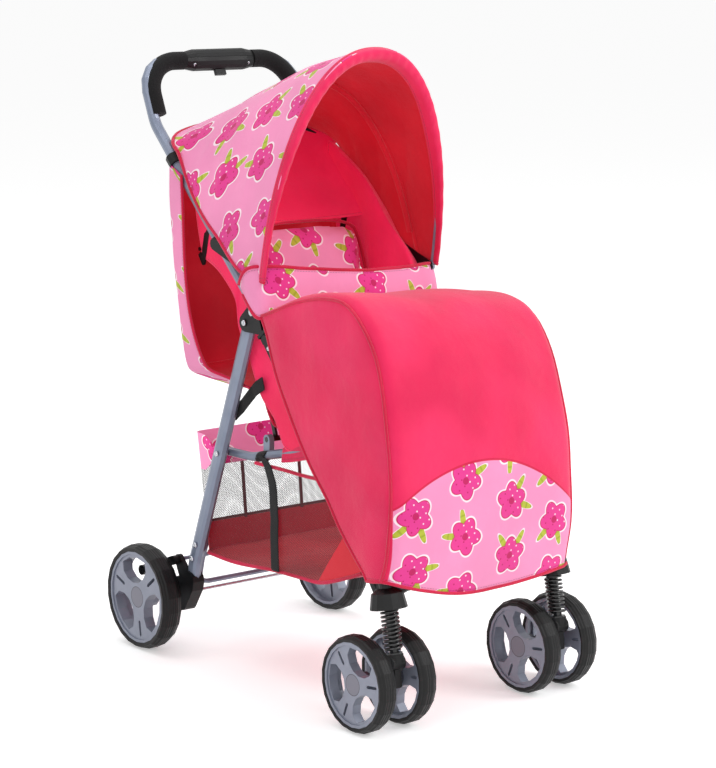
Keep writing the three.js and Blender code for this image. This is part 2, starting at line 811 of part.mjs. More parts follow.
// Rear legs: flat oval tubes from the fold hinge to the axle brackets
const leg_top_margin = 5;
const leg_bend_depth = 138;
const leg_bend_height = 108;
const leg_foot_depth = 144;
const leg_foot_height = 80;
const seat_pivot_depth = 86.1;
const seat_pivot_height = 239.2;
const rivet_radius = 2;
const upper_rivet_depth = 129.3;
const upper_rivet_height = 128.5;
const lower_rivet_depth = 136.2;
const lower_rivet_height = 111.5;
const leg_bend = side(leg_bend_depth, leg_bend_height);
const leg_foot = side(leg_foot_depth, leg_foot_height);
const leg_heading = leg_bend.clone().sub(leg_pivot).normalize();
const leg_top = moved(leg_pivot, leg_heading, -leg_top_margin);
const seat_pivot = side(seat_pivot_depth, seat_pivot_height);
const brace_rivets = [
  side(upper_rivet_depth, upper_rivet_height),
  side(lower_rivet_depth, lower_rivet_height),
];
const leg_inner = leg_plane - leg_half_width;
const leg_outer = leg_plane + leg_half_width;
const seat_pin_radius = 2.5;
const seat_rail_radius = 5;
const seat_rail_plane = 91.5;

function ovalSection(half_width, half_depth, round_steps = 4) {
  const flat = half_depth - half_width;
  const points = [];
  for (const end of [1, -1]) {
    for (let i = 0; i <= round_steps; i++) {
      const angle = (Math.PI * i) / round_steps;
      points.push(side(end * half_width * Math.cos(angle), end * (flat + half_width * Math.sin(angle))));
    }
  }
  return points;
}

const leg_bend_radius = 36;
const leg_bend_steps = 2;
const leg_path = bentPath(
  [placed(leg_plane, leg_top), placed(leg_plane, leg_bend), placed(leg_plane, leg_foot)],
  [leg_bend_radius],
  leg_bend_steps,
);
const leg_hole = (point, radius) =>
  crossRod(point, leg_inner - overrun, leg_outer + overrun, radius + running_gap);
const drilled_leg = cut(
  sweep(ovalSection(leg_half_width, leg_half_depth), leg_path),
  leg_hole(leg_pivot, pivot_pin_radius),
  ...brace_rivets.map((point) => leg_hole(point, rivet_radius)),
);
const seat_pin = crossRod(
  seat_pivot,
  seat_rail_plane - seat_rail_radius - running_gap,
  leg_plane,
  seat_pin_radius,
);
addPair("rear_leg", join(drilled_leg, seat_pin), painted_steel);

// Brace: a bent bar riveted to the inside of the legs, which crosses low behind the basket
const brace_radius = 3;
const brace_low_depth = 151;
const brace_low_height = 78;
const brace_corner_inset = 4.5;
const brace_bend_radius = 14;
const rivet_head_radius = 3.4;
const rivet_head_thickness = 1.2;
const brace_plane = leg_inner - running_gap - brace_radius;
const brace_heading = brace_rivets[1].clone().sub(brace_rivets[0]).normalize();
const brace_top = moved(brace_rivets[0], brace_heading, -rivet_head_radius * 2);
const brace_turn = moved(brace_rivets[1], brace_heading, rivet_head_radius);
const brace_low = side(brace_low_depth, brace_low_height);
const brace_side = [
  placed(brace_plane, brace_top),
  placed(brace_plane, brace_turn),
  placed(brace_plane - brace_corner_inset, brace_low),
];
const brace_corners = [
  ...brace_side,
  ...brace_side.map((point) => vec(-point.x, point.y, point.z)).reverse(),
];
const brace_bends = [brace_bend_radius, brace_bend_radius, brace_bend_radius, brace_bend_radius];
const brace_bar = tube(bentPath(brace_corners, brace_bends, small_bend_steps), brace_radius, wire_facets);
const rivets = [];
for (const point of brace_rivets) {
  for (const hand of [-1, 1]) {
    const head_from = leg_outer + running_gap;
    rivets.push(
      crossRod(
        point,
        hand * brace_plane,
        hand * (head_from + rivet_head_thickness / 2),
        rivet_radius,
        wire_facets,
      ),
    );
    rivets.push(
      crossRod(
        point,
        hand * head_from,
        hand * (head_from + rivet_head_thickness),
        rivet_head_radius,
        wire_facets,
      ),
    );
  }
}
add("rear_brace", join(brace_bar, ...rivets), painted_steel);

// Axle brackets: a moulded socket for the leg's foot, an arm to the axle, a low lobe and a brake ear
const bracket_inner = 97.4;
const bracket_outer = 112.4;
const foot_socket_radius = 11.4;
const low_lobe_depth = 155.5;
const low_lobe_height = 56;
const low_lobe_radius = 8;
const axle_arm_radius = 10;
const brake_pivot_depth = 162;
const brake_pivot_height = 106;
const brake_ear_radius = 6;
const brake_ear_thickness = 5;
const brake_wire_radius = 2.3;
const stub_boss_radius = 7;
const peg_depth = 175;
const peg_height = 79;
const peg_radius = 4;
const foot_socket_height = 85;
const brake_pivot = side(brake_pivot_depth, brake_pivot_height);
const low_lobe = side(low_lobe_depth, low_lobe_height);
const peg = side(peg_depth, peg_height);
const foot_heading = leg_foot.clone().sub(leg_bend).normalize();
const foot_top = moved(leg_foot, foot_heading, -(foot_socket_height - leg_foot_height));
const rear_wheel_inner = rear_half_track - rear_wheel_width / 2;
const stub_end = rear_half_track + rear_wheel.cap_plane - cap_wall - running_gap;
const foot_bore_length = 16;
const foot_path = bentPath(
  [
    placed(leg_plane, moved(leg_foot, foot_heading, running_gap)),
    placed(leg_plane, moved(foot_top, foot_heading, -foot_bore_length)),
  ],
  [],
);
const foot_socket_bore = sweep(
  ovalSection(leg_half_width + running_gap, leg_half_depth + running_gap),
  foot_path,
);
const bracket_body = join(
  link(
    [[foot_top, foot_socket_radius], [leg_foot, foot_socket_radius], [low_lobe, low_lobe_radius]],
    bracket_inner,
    bracket_outer,
  ),
  link(
    [[leg_foot, foot_socket_radius], [rear_axle, axle_arm_radius], [peg, peg_radius]],
    leg_plane,
    bracket_outer,
  ),
  link(
    [[leg_foot, foot_socket_radius], [brake_pivot, brake_ear_radius]],
    bracket_outer - brake_ear_thickness,
    bracket_outer,
  ),
  crossRod(rear_axle, leg_plane, rear_wheel_inner - running_gap, stub_boss_radius, boss_facets),
  crossRod(rear_axle, leg_plane, stub_end, axle_radius),
);
const axle_bracket = cut(
  bracket_body,
  foot_socket_bore,
  crossRod(brake_pivot, bracket_inner, bracket_outer + overrun, brake_wire_radius + running_gap),
);
addPair("axle_bracket", axle_bracket, black_plastic);

// A thin rod ties the two axle brackets together.
const cross_rod_radius = 1.9;
const cross_rod_depth = 152;
const cross_rod_height = 69.5;
const cross_rod_half_length = bracket_inner - running_gap;
const cross_rod_place = side(cross_rod_depth, cross_rod_height);
add(
  "cross_rod",
  crossRod(cross_rod_place, -cross_rod_half_length, cross_rod_half_length, cross_rod_radius),
  bright_steel,
);

// Brake: a thin bar through the ears of the brackets, with a pedal at each end beside the wheel
const pedal_inner = bracket_outer + running_gap;
const pedal_outer = 119.5;
const pedal_depth = 226;
const pedal_height = 82;
const pedal_tip_radius = 6;
const pedal_root_radius = 5.2;
const pedal_pad_inner = 96;
const brake_bar_end = pedal_outer - overrun;
add("brake_bar", crossRod(brake_pivot, -brake_bar_end, brake_bar_end, brake_wire_radius), painted_steel);
const pedal_tip = side(pedal_depth, pedal_height);
const pedal_pad_start = moved(pedal_tip, pedal_tip.clone().sub(brake_pivot).normalize(), -pedal_tip_radius);
const brake_pedal = cut(
  join(
    link([[brake_pivot, pedal_root_radius], [pedal_tip, pedal_tip_radius / 2]], pedal_inner, pedal_outer),
    link(
      [[pedal_pad_start, pedal_tip_radius / 2], [pedal_tip, pedal_tip_radius]],
      pedal_pad_inner,
      pedal_outer,
    ),
  ),
  crossRod(
    brake_pivot,
    pedal_inner - overrun,
    brake_bar_end + running_gap,
    brake_wire_radius + running_gap,
  ),
);
addPair("brake_pedal", brake_pedal, black_plastic);

// Seat frame: two rails joined across the front, which turn on pins in the rear legs
const rail_front_depth = -95;
const rail_front_height = 272;
const rail_low_depth = 46;
const rail_low_height = 240;
const rail_bend_radius = 60;
const rail_corner_radius = 16;
const rail_end_margin = 7;
const backrest_hinge_depth = 24;
const backrest_hinge_height = 262;
const lug_radius = 5.5;
const lug_inner = 82.5;
const backrest_wire_radius = 3;
const rail_front = side(rail_front_depth, rail_front_height);
const rail_low = side(rail_low_depth, rail_low_height);
const backrest_hinge = side(backrest_hinge_depth, backrest_hinge_height);
const rail_back = side(seat_pivot_depth + rail_end_margin, seat_pivot_height);
const rail_side = [
  placed(seat_rail_plane, rail_back),
  placed(seat_rail_plane, rail_low),
  placed(seat_rail_plane, rail_front),
];
const rail_corners = [...rail_side, ...rail_side.map((point) => vec(-point.x, point.y, point.z)).reverse()];
const rails = tube(
  bentPath(
    rail_corners,
    [rail_bend_radius, rail_corner_radius, rail_corner_radius, rail_bend_radius],
    small_bend_steps,
  ),
  seat_rail_radius,
  pin_facets,
);
const railHeight = (depth) =>
  mix(rail_front_height, rail_low_height, (depth - rail_front_depth) / (rail_low_depth - rail_front_depth));
const lug_foot = side(backrest_hinge_depth, railHeight(backrest_hinge_depth) + seat_rail_radius / 2);
const lug_outer = seat_rail_plane - seat_rail_radius / 2;
const lugs = [-1, 1].map((hand) => {
  const [from, to] = [hand * lug_inner, hand * lug_outer].sort((a, b) => a - b);
  return link([[backrest_hinge, lug_radius], [lug_foot, lug_radius]], from, to);
});
const rail_holes = crossRod(seat_pivot, -leg_inner, leg_inner, seat_pin_radius + running_gap);
const lug_holes = crossRod(
  backrest_hinge,
  -lug_outer - overrun,
  lug_outer + overrun,
  backrest_wire_radius + running_gap,
);
add("seat_frame", cut(join(rails, ...lugs), rail_holes, lug_holes), painted_steel);

// Backrest frame: a bent wire whose lower bar turns in the lugs, with a bail that the recline arms hold
const backrest_angle = 17.7;
const backrest_length = 216;
const backrest_half_width = 76;
const backrest_corner_radius = 18;
const bail_depth = 134.9;
const bail_height = 459.3;
const bail_start = 176;
const bail_half_width = 97.2;
const bail_radius = 2.3;
const backrest_heading = heading(right_angle - backrest_angle);
const backrest_top = moved(backrest_hinge, backrest_heading, backrest_length);
const bail = side(bail_depth, bail_height);
const bail_root = moved(backrest_hinge, backrest_heading, bail_start);
const backrest_side = [
  placed(backrest_half_width, backrest_hinge),
  placed(backrest_half_width, backrest_top),
];
const backrest_corners = [
  ...backrest_side,
  ...backrest_side.map((point) => vec(-point.x, point.y, point.z)).reverse(),
];
const backrest_bow = tube(
  bentPath(backrest_corners, [backrest_corner_radius, backrest_corner_radius]),
  backrest_wire_radius,
  wire_facets,
);
const backrest_bar_end = lug_outer;
const backrest_frame = join(
  backrest_bow,
  crossRod(backrest_hinge, -backrest_bar_end, backrest_bar_end, backrest_wire_radius, wire_facets),
  rod(
    placed(-backrest_half_width, bail_root),
    placed(-backrest_half_width, bail),
    bail_radius,
    wire_facets,
  ),
  rod(placed(backrest_half_width, bail_root), placed(backrest_half_width, bail), bail_radius, wire_facets),
  crossRod(bail, -bail_half_width, bail_half_width, bail_radius, wire_facets),
);
add("backrest_frame", backrest_frame, black_steel);

// Backrest pad: a cushion with a crown and drawn-in sides in front of the backrest frame
const pad_half_width = 84;
const pad_length = 226;
const pad_thickness = 17;
const pad_drawn_in = 4;
const pad_rows = 10;
const pad_columns = 10;
const pad_corner_share = 0.16;
const pad_edge_share = 0.42;
const pad_corner_power = 4;
const pad_crown_power = 6;
const pad_gap = backrest_wire_radius + running_gap;
const pad_normal = side(-backrest_heading.y, backrest_heading.x);
const pad_foot = moved(
  moved(backrest_hinge, pad_normal, pad_gap + (pad_thickness * pad_edge_share) / 2),
  backrest_heading,
  pad_gap,
);

function padPoint(u, v, face) {
  const a = 2 * u - 1;
  const b = 2 * v - 1;
  const rounding = pad_corner_share * (a * b) ** pad_corner_power;
  const x = (pad_half_width - pad_drawn_in * (1 - b ** 2) * Math.abs(a)) * a * (1 - rounding);
  const along = pad_length * (0.5 + 0.5 * b * (1 - rounding)) - pad_drawn_in * (1 - a ** 2) * b;
  const crown = Math.sqrt((1 - a ** pad_crown_power) * (1 - b ** pad_crown_power));
  const height = (face * pad_thickness * crown) / 2;
  return placed(x, moved(moved(pad_foot, backrest_heading, along), pad_normal, height));
}

function cushion(rows, columns, pointAt) {
  const faces = [1, -1].map((face) => {
    const at = (i, j) => pointAt(i / columns, j / rows, face);
    const points = [];
    for (let j = 0; j < rows; j++) {
      for (let i = 0; i < columns; i++) {
        const [a, b, c, d] = [at(i, j), at(i + 1, j), at(i + 1, j + 1), at(i, j + 1)];
        points.push(...(face > 0 ? [a, b, c, a, c, d] : [a, c, b, a, d, c]));
      }
    }
    return points;
  });
  const soup = mergeVertices(new THREE.BufferGeometry().setFromPoints(faces.flat()), 1e-4);
  const vertices = [];
  for (let i = 0; i < soup.attributes.position.count; i++) {
    vertices.push(new THREE.Vector3().fromBufferAttribute(soup.attributes.position, i));
  }
  const triangles = [];
  for (let i = 0; i < soup.index.count; i += 3) triangles.push(
    [0, 1, 2].map((k) => soup.index.getX(i + k)),
  );
  return closedSurface(vertices, triangles);
}
add("backrest_pad", cushion(pad_rows, pad_columns, padPoint), print_cloth);

// Handle: one bent tube from hinge to hinge
const handle_end_margin = 5;
const handle_bend_radius = 40;
const grip_corner_radius = 34;
const handle_bend = moved(hinge, handle_heading, handle_straight_length);
const grip = moved(handle_bend, grip_heading, grip_length);
const handle_side = [
  placed(tube_plane, moved(hinge, handle_heading, -handle_end_margin)),
  placed(tube_plane, handle_bend),
  placed(tube_plane, grip),
];
const handle_corners = [
  ...handle_side,
  ...handle_side.map((point) => vec(-point.x, point.y, point.z)).reverse(),
];
const handle_bends = [handle_bend_radius, grip_corner_radius, grip_corner_radius, handle_bend_radius];
const handle = tube(bentPath(handle_corners, handle_bends), tube_radius);
const pivot_hole = crossRod(
  hinge,
  -tube_outer - overrun,
  tube_outer + overrun,
  pivot_pin_radius + running_gap,
);
const arm_pivot_distance = 139;
const arm_pin_radius = 1.8;
const arm_pin_depth = 2.5;
const arm_pivot = moved(hinge, handle_heading, arm_pivot_distance);
const arm_hole = crossRod(
  arm_pivot,
  -tube_inner - arm_pin_depth - running_gap,
  tube_inner + arm_pin_depth + running_gap,
  arm_pin_radius + running_gap,
);
add("handle_tube", cut(handle, pivot_hole, arm_hole), painted_steel);

// Foam grips slipped over the bends of the handle
const foam_radius = 9.6;
const foam_start = 10;
const housing_half_length = 46.5;
const foam_bottom = moved(handle_bend, grip_heading, foam_start);
const foam_path = bentPath(
  [
    placed(tube_plane, foam_bottom),
    placed(tube_plane, grip),
    placed(housing_half_length + running_gap, grip),
  ],
  [grip_corner_radius],
);
const foam = sweep(
  roundSection(foam_radius, tube_facets),
  foam_path,
  roundSection(tube_radius + running_gap, tube_facets),
);
addPair("foam_grip", foam, black_foam);

// Grip housing: two moulded halves clamped round the middle of the handle
const housing_radius = 12.6;
const housing_end_radius = 10;
const housing_height_share = 0.86;
const housing_shoulder = 12;
const housing_facets = 16;
const housing_bore_radius = 7;
const tab_half_length = 7;
const tab_length = 6;
const tab_thickness = 4;
const housing_profile = [
  [0, -housing_half_length],
  [housing_end_radius, -housing_half_length],
  [housing_radius, -housing_half_length + housing_shoulder],
  [housing_radius, housing_half_length - housing_shoulder],
  [housing_end_radius, housing_half_length],
  [0, housing_half_length],
];
const housing_blank = turned(housing_profile, vec(0, 0, 0), vec(1, 0, 0), housing_facets).scale(
  1,
  housing_height_share,
  1,
);
const housing_bore = crossRod(
  side(0, 0),
  -housing_half_length - overrun,
  housing_half_length + overrun,
  housing_bore_radius,
  housing_facets,
);
const half_space = new THREE.BoxGeometry(housing_half_length * 3, housing_radius * 3, housing_radius * 3);
const half_shift = (housing_radius * 3) / 2 - running_gap / 2;
const housing_tab = new THREE.BoxGeometry(tab_half_length * 2, tab_thickness, tab_length * 2).translate(
  0,
  0,
  -housing_radius,
);
const grip_turn = ((grip_angle - right_angle) * Math.PI) / 180;

function addHousingHalf(name, blank, hand) {
  const half = cut(blank, housing_bore, half_space.clone().translate(0, 0, -hand * half_shift));
  const mesh = add(name, half, black_plastic);
  mesh.position.set(0, grip.x, grip.y);
  mesh.rotation.x = grip_turn;
}
addHousingHalf("grip_housing_upper", housing_blank, 1);
addHousingHalf("grip_housing_lower", join(housing_blank, housing_tab), -1);

// Hood clips: a ring round the handle tube with an arm that carries the pivots of two hood bows
const clip_distance = 94.7;
const clip_half_length = 6.5;
const clip_radius = 9.4;
const clip_arm_thickness = 1.2;
const bow_side_gap = 0.7;
const clip_arm_radius = 5.5;
const bow_pin_radius = 1.7;
const bow_eye_thickness = 2.6;
const eye_facets = 10;
const front_bow_pivot_forward = 24.3;
const front_bow_pivot_rise = 33.8;
const mid_bow_pivot_forward = 0.3;
const mid_bow_pivot_rise = 42.3;
const front_bow_pivot = side(hinge_depth - front_bow_pivot_forward, hinge_height + front_bow_pivot_rise);
const mid_bow_pivot = side(hinge_depth - mid_bow_pivot_forward, hinge_height + mid_bow_pivot_rise);
const clip_arm_inner = outer_cheek_outside + running_gap;
const clip_arm_outer = clip_arm_inner + clip_arm_thickness;
const clip_centre = moved(hinge, handle_heading, clip_distance);
const onHandle = (distance) => placed(tube_plane, moved(hinge, handle_heading, distance));
const handleRing = (distance, half_length, radius) =>
  tube(bentPath([onHandle(distance - half_length), onHandle(distance + half_length)], []), radius);
const bow_eye_inner = clip_arm_outer + bow_side_gap;
const bow_eye_outer = bow_eye_inner + bow_eye_thickness;
const bow_radius = 2.1;
const bow_plane = bow_eye_inner + bow_radius;
const hood_clip = cut(
  join(
    handleRing(clip_distance, clip_half_length, clip_radius),
    link([[clip_centre, clip_arm_radius], [clip_centre, clip_half_length]], tube_outer, clip_arm_outer),
    link(
      [[clip_centre, clip_half_length], [mid_bow_pivot, clip_arm_radius]],
      clip_arm_inner,
      clip_arm_outer,
      eye_facets,
    ),
    link(
      [[mid_bow_pivot, clip_arm_radius], [front_bow_pivot, clip_arm_radius]],
      clip_arm_inner,
      clip_arm_outer,
      eye_facets,
    ),
    crossRod(front_bow_pivot, clip_arm_inner, bow_eye_outer, bow_pin_radius),
    crossRod(mid_bow_pivot, clip_arm_inner, bow_eye_outer, bow_pin_radius),
  ),
  handleRing(clip_distance, clip_half_length + overrun, tube_radius + running_gap),
);
addPair("hood_clip", hood_clip, black_plastic);

// Hood bows: arches of thin rod with an eye at each end
const bow_square_share = 0.88;
const front_bow_angle = 99.8;
const bow_under_cloth = 2.9;
const mid_bow_angle = 75;
const mid_bow_share = 0.829;
const bow_eye_radius = 4.6;
const bow_steps = 16;

function archPoint(share, half_width, rise, foot, direction) {
  const angle = Math.PI * share;
  const reach = Math.sign(Math.cos(angle)) * Math.abs(Math.cos(angle)) ** bow_square_share;
  const height = Math.abs(Math.sin(angle)) ** bow_square_share;
  return placed(-half_width * reach, moved(foot, direction, rise * height));
}

function hoodBow(pivot, angle, rise) {
  const direction = heading(angle);
  const arch = tube(
    curvedPath((share) => archPoint(share, bow_plane, rise, pivot, direction), bow_steps),
    bow_radius,
    wire_facets,
  );
  const eyes = [-1, 1].map((hand) => {
    const [from, to] = [hand * bow_eye_inner, hand * bow_eye_outer].sort((a, b) => a - b);
    return link(
      [[pivot, bow_eye_radius], [moved(pivot, direction, bow_eye_radius), bow_radius]],
      from,
      to,
      eye_facets,
    );
  });
  const pin_holes = crossRod(
    pivot,
    -bow_eye_outer - overrun,
    bow_eye_outer + overrun,
    bow_pin_radius + running_gap,
  );
  return cut(join(arch, ...eyes), pin_holes);
}
add(
  "hood_front_bow",
  hoodBow(front_bow_pivot, front_bow_angle, hood_rise - bow_under_cloth),
  painted_steel,
);
add("hood_mid_bow", hoodBow(mid_bow_pivot, mid_bow_angle, hood_rise * mid_bow_share), painted_steel);

// Rear hood bow: a low arch between two rings on the handle tube
const rear_bow_distance = 214;
const rear_bow_ring_half_length = 6;
const rear_bow_angle = 47;
const rear_bow_share = 0.1674;
const rear_bow_steps = 10;
const rear_bow_foot = moved(hinge, handle_heading, rear_bow_distance);
const rear_bow_base = moved(
  rear_bow_foot,
  heading(handle_angle + right_angle),
  tube_radius + 2 * running_gap + bow_radius,
);
const rear_bow_arch = tube(
  curvedPath(
    (share) => archPoint(
      share,
      tube_plane,
      hood_rise * rear_bow_share,
      rear_bow_base,
      heading(rear_bow_angle),
    ),
    rear_bow_steps,
  ),
  bow_radius,
  wire_facets,
);
const rear_ring = handleRing(rear_bow_distance, rear_bow_ring_half_length, clip_radius);
const rear_ring_bore = handleRing(
  rear_bow_distance,
  rear_bow_ring_half_length + overrun,
  tube_radius + running_gap,
);
const rear_bow = cut(
  join(rear_bow_arch, rear_ring, mirrored(rear_ring)),
  rear_ring_bore,
  mirrored(rear_ring_bore),
);
add("hood_rear_bow", rear_bow, black_plastic);

// Recline arms: hooks that hang from the handle tubes and hold the backrest's bail
const arm_inner = 93.9;
const arm_outer = 96.3;
const arm_pivot_radius = 5;
const arm_waist_radius = 4.4;
const arm_tail_radius = 2.6;
const arm_tail_depth = 129.5;
const arm_tail_height = 444.5;
const arm_back_offset = 6.5;
const lip_angle = -76;
const neck_angle = 176;
const hook_mouth_angle = -34;
const arm_tail = side(arm_tail_depth, arm_tail_height);
const arm_lip = moved(bail, heading(lip_angle), bail_radius + running_gap + arm_tail_radius);
const arm_neck = moved(bail, heading(neck_angle), arm_back_offset + arm_waist_radius / 2);
const arm_shape = join(
  link([[arm_pivot, arm_pivot_radius], [arm_neck, arm_waist_radius]], arm_inner, arm_outer),
  link([[arm_neck, arm_waist_radius], [arm_tail, arm_tail_radius]], arm_inner, arm_outer),
  link([[arm_tail, arm_tail_radius], [arm_lip, arm_tail_radius]], arm_inner, arm_outer),
  crossRod(arm_pivot, arm_inner, tube_inner + arm_pin_depth, arm_pin_radius),
);
const bail_path = link(
  [
    [bail, bail_radius + running_gap * 2],
    [moved(bail, heading(hook_mouth_angle), arm_back_offset * 2), bail_radius * 2],
  ],
  arm_inner - overrun,
  arm_outer + overrun / 2,
);
const recline_arm = cut(arm_shape, bail_path);
addPair("recline_arm", recline_arm, black_plastic);

// Latch levers on the outside of the front tubes, under the fold hinge
const lever_thickness = 2;
const lever_top_radius = 4.6;
const lever_top_reach = 12;
const lever_bump_reach = 26;
const lever_bump_radius = 4;
const lever_tip_reach = 56;
const lever_tip_radius = 1.2;
const lever_tip_aside = 4;
const lever_aside = side(-front_tube_heading.y, front_tube_heading.x);
const lever_tip = moved(
  moved(lever_pivot, front_tube_heading, lever_tip_reach),
  lever_aside,
  lever_tip_aside,
);
const lever_bump = moved(lever_pivot, front_tube_heading, lever_bump_reach);
const lever_top = moved(lever_pivot, front_tube_heading, -lever_top_reach);
const lever_inner = tube_outer + running_gap;
const latch_lever = join(
  link(
    [[lever_top, lever_top_radius], [lever_bump, lever_bump_radius]],
    lever_inner,
    lever_inner + lever_thickness,
  ),
  link(
    [[lever_bump, lever_bump_radius], [lever_tip, lever_tip_radius]],
    lever_inner,
    lever_inner + lever_thickness,
  ),
  crossRod(lever_pivot, tube_outer - lever_pin_depth, lever_inner + lever_thickness, lever_pin_radius),
);
addPair("latch_lever", latch_lever, black_plastic);

// Soft parts: a place in the side plane is a share of the way from the hub to the hinge, or a share of a
// length that is measured back and up from a pivot. A crown rises to its full height over crown_share.
const crown_share = 0.25;
const fromHub = ([back, up]) => side(mix(hub_depth, hinge_depth, back), mix(hub_height, hinge_height, up));
const fromPivot = (pivot, length) => ([back, up]) => side(pivot.x + back * length, pivot.y + up * length);
const smooth = (share) => {
  const held = Math.min(Math.max(share, 0), 1);
  return held * held * (3 - 2 * held);
};

// A row of a sheet that goes up one side, round a corner, across the front, and back down the other side
const side_columns = 2;
const corner_columns = 2;
const front_columns = 4;
const wrap_columns = 2 * (side_columns + corner_columns) + front_columns;

function wrapPoint(u, edge, crease, half_width, corner_radius, crown) {
  const column = Math.round(u * wrap_columns);
  const hand = column * 2 < wrap_columns ? -1 : 1;
  const step = Math.min(column, wrap_columns - column);
  const back = edge.clone().sub(crease);
  const length = back.length();
  const radius = Math.min(corner_radius, length / 2);
  const towards = back.normalize();
  if (step <= side_columns) {
    return placed(hand * half_width, moved(crease, towards, mix(length, radius, step / side_columns)));
  }
  if (step < side_columns + corner_columns) {
    const turn = ((Math.PI / 2) * (step - side_columns)) / corner_columns;
    const x = half_width - radius * (1 - Math.cos(turn));
    return placed(hand * x, moved(crease, towards, radius * (1 - Math.sin(turn))));
  }
  const share = 1 - (step - side_columns - corner_columns) / (front_columns / 2);
  const x = (half_width - radius) * share;
  return placed(hand * x, moved(crease, towards, -crown * (1 - share ** 2)));
}

// Foot cover: a box of cloth round the front tubes, from a band over the lap down to a hem at the hubs
const cover_crease_shares = [
  [0.825, 1.134],
  [0.809, 1.035],
  [0.571, 1.103],
  [0.284, 1.144],
  [0.095, 1.134],
  [-0.065, 1.027],
  [-0.159, 0.843],
  [-0.218, 0.609],
  [-0.236, 0.373],
  [-0.228, 0.129],
  [-0.189, 0.007],
];
const cover_edge_shares = [
  [1.039, 1.118],
  [0.85, 0.996],
  [0.799, 0.924],
  [0.73, 0.786],
  [0.661, 0.677],
  [0.571, 0.563],
  [0.463, 0.443],
  [0.313, 0.313],
  [0.173, 0.181],
  [0.036, 0.072],
  [-0.025, 0.004],
];
const cover_corner_radius = 13;
const cover_crown = 5;
const cover_hem_sag = 11;
const cover_hem_power = 8;
const cover_rows = 14;
const cover_crease = curveThrough(cover_crease_shares.map(fromHub));
const cover_edge = curveThrough(cover_edge_shares.map(fromHub));

function coverPoint(v, u) {
  const crown = cover_crown * smooth(v / crown_share);
  const point = wrapPoint(u, cover_edge(v), cover_crease(v), cover_half_width, cover_corner_radius, crown);
  const sag = cover_hem_sag * v ** cover_hem_power * Math.max(0, 1 - (point.x / cover_half_width) ** 2);
  return point.setZ(point.z - sag);
}
const cover_inside = vec(0, hub_depth / 2, (hub_height + hinge_height) / 2);
add(
  "foot_cover",
  clothSheet(cover_rows, wrap_columns, coverPoint, padded_cloth_thickness, cover_inside),
  pink_cloth,
);

// Seat sling: a seat over the rails with side panels up to the front tubes, drawn in past the hinges
const sling_half_width = tube_inner - 1.5 * running_gap;
const sling_waist = 93.1;
const sling_waist_start = 46;
const sling_waist_end = 64;
const sling_front_overhang = 6;
const sling_length = 118;
const sling_sag = 5;
const sling_flat_share = 0.75;
const sling_lap_share = 0.1;
const sling_sag_share = 0.33;
const sling_rows = 9;
const sling_middle_shares = [
  [0.443, 0.524],
  [0.551, 0.532],
  [0.671, 0.583],
  [0.799, 0.638],
  [0.949, 0.729],
  [1.108, 0.76],
];
const sling_top_shares = [
  [0.459, 0.537],
  [0.571, 0.57],
  [0.695, 0.695],
  [0.831, 0.83],
  [1.049, 1.03],
  [1.267, 1.066],
];
const sling_middle = curveThrough(sling_middle_shares.map(fromHub));
const sling_top = curveThrough(sling_top_shares.map(fromHub));
const rail_heading = rail_low.clone().sub(rail_front).normalize();
const rail_up = side(-rail_heading.y, rail_heading.x);

function slingPoint(v, u) {
  const seat = moved(
    moved(rail_front, rail_heading, mix(-sling_front_overhang, sling_length - sling_front_overhang, v)),
    rail_up,
    seat_rail_radius + running_gap,
  );
  const place = Math.round(u * wrap_columns);
  const hand = place * 2 < wrap_columns ? -1 : 1;
  const step = Math.min(place, wrap_columns - place);
  const panel = step < side_columns ? 1 - step / side_columns : 0;
  const lower = seat.clone().lerp(sling_middle(v), Math.min(1, panel * 2));
  const point = panel > 0.5 ? sling_middle(v).lerp(sling_top(v), panel * 2 - 1) : lower;
  const waist = smooth(
    (point.distanceTo(hinge) - sling_waist_start) / (sling_waist_end - sling_waist_start),
  );
  const half_width = mix(sling_waist, sling_half_width, waist);
  if (panel > 0) return placed(hand * half_width, point);
  const across = 1 - (step - side_columns) / (wrap_columns / 2 - side_columns);
  const slack = Math.max(0, 1 - (across / sling_flat_share) ** 2) * smooth(
    (v - sling_lap_share) / sling_sag_share,
  );
  return placed(hand * half_width * across, moved(seat, rail_up, -sling_sag * slack));
}
const sling_inside = placed(0, hinge);
add(
  "seat_sling",
  clothSheet(sling_rows, wrap_columns, slingPoint, cloth_thickness, sling_inside),
  pink_cloth,
);

// Back fabric: a sheet stretched over the front of the handle tubes, above the backrest
const back_fabric_start = 103.5;
const back_fabric_end = 205;
const back_fabric_half_width = tube_outer;
const back_fabric_crown = 6;
const back_fabric_rows = 5;
const back_fabric_columns = 8;
const handle_up = side(-handle_heading.y, handle_heading.x);

function backFabricPoint(v, u) {
  const across = 2 * u - 1;
  const crown = back_fabric_crown * smooth((1 - Math.abs(across)) / crown_share);
  const place = moved(hinge, handle_heading, mix(back_fabric_start, back_fabric_end, v));
  return placed(
    across * back_fabric_half_width,
    moved(place, handle_up, tube_radius + running_gap + cloth_thickness + crown),
  );
}
const back_fabric = clothSheet(
  back_fabric_rows,
  back_fabric_columns,
  backFabricPoint,
  cloth_thickness,
  placed(0, seat_pivot),
);
add("back_fabric", back_fabric, pink_cloth);

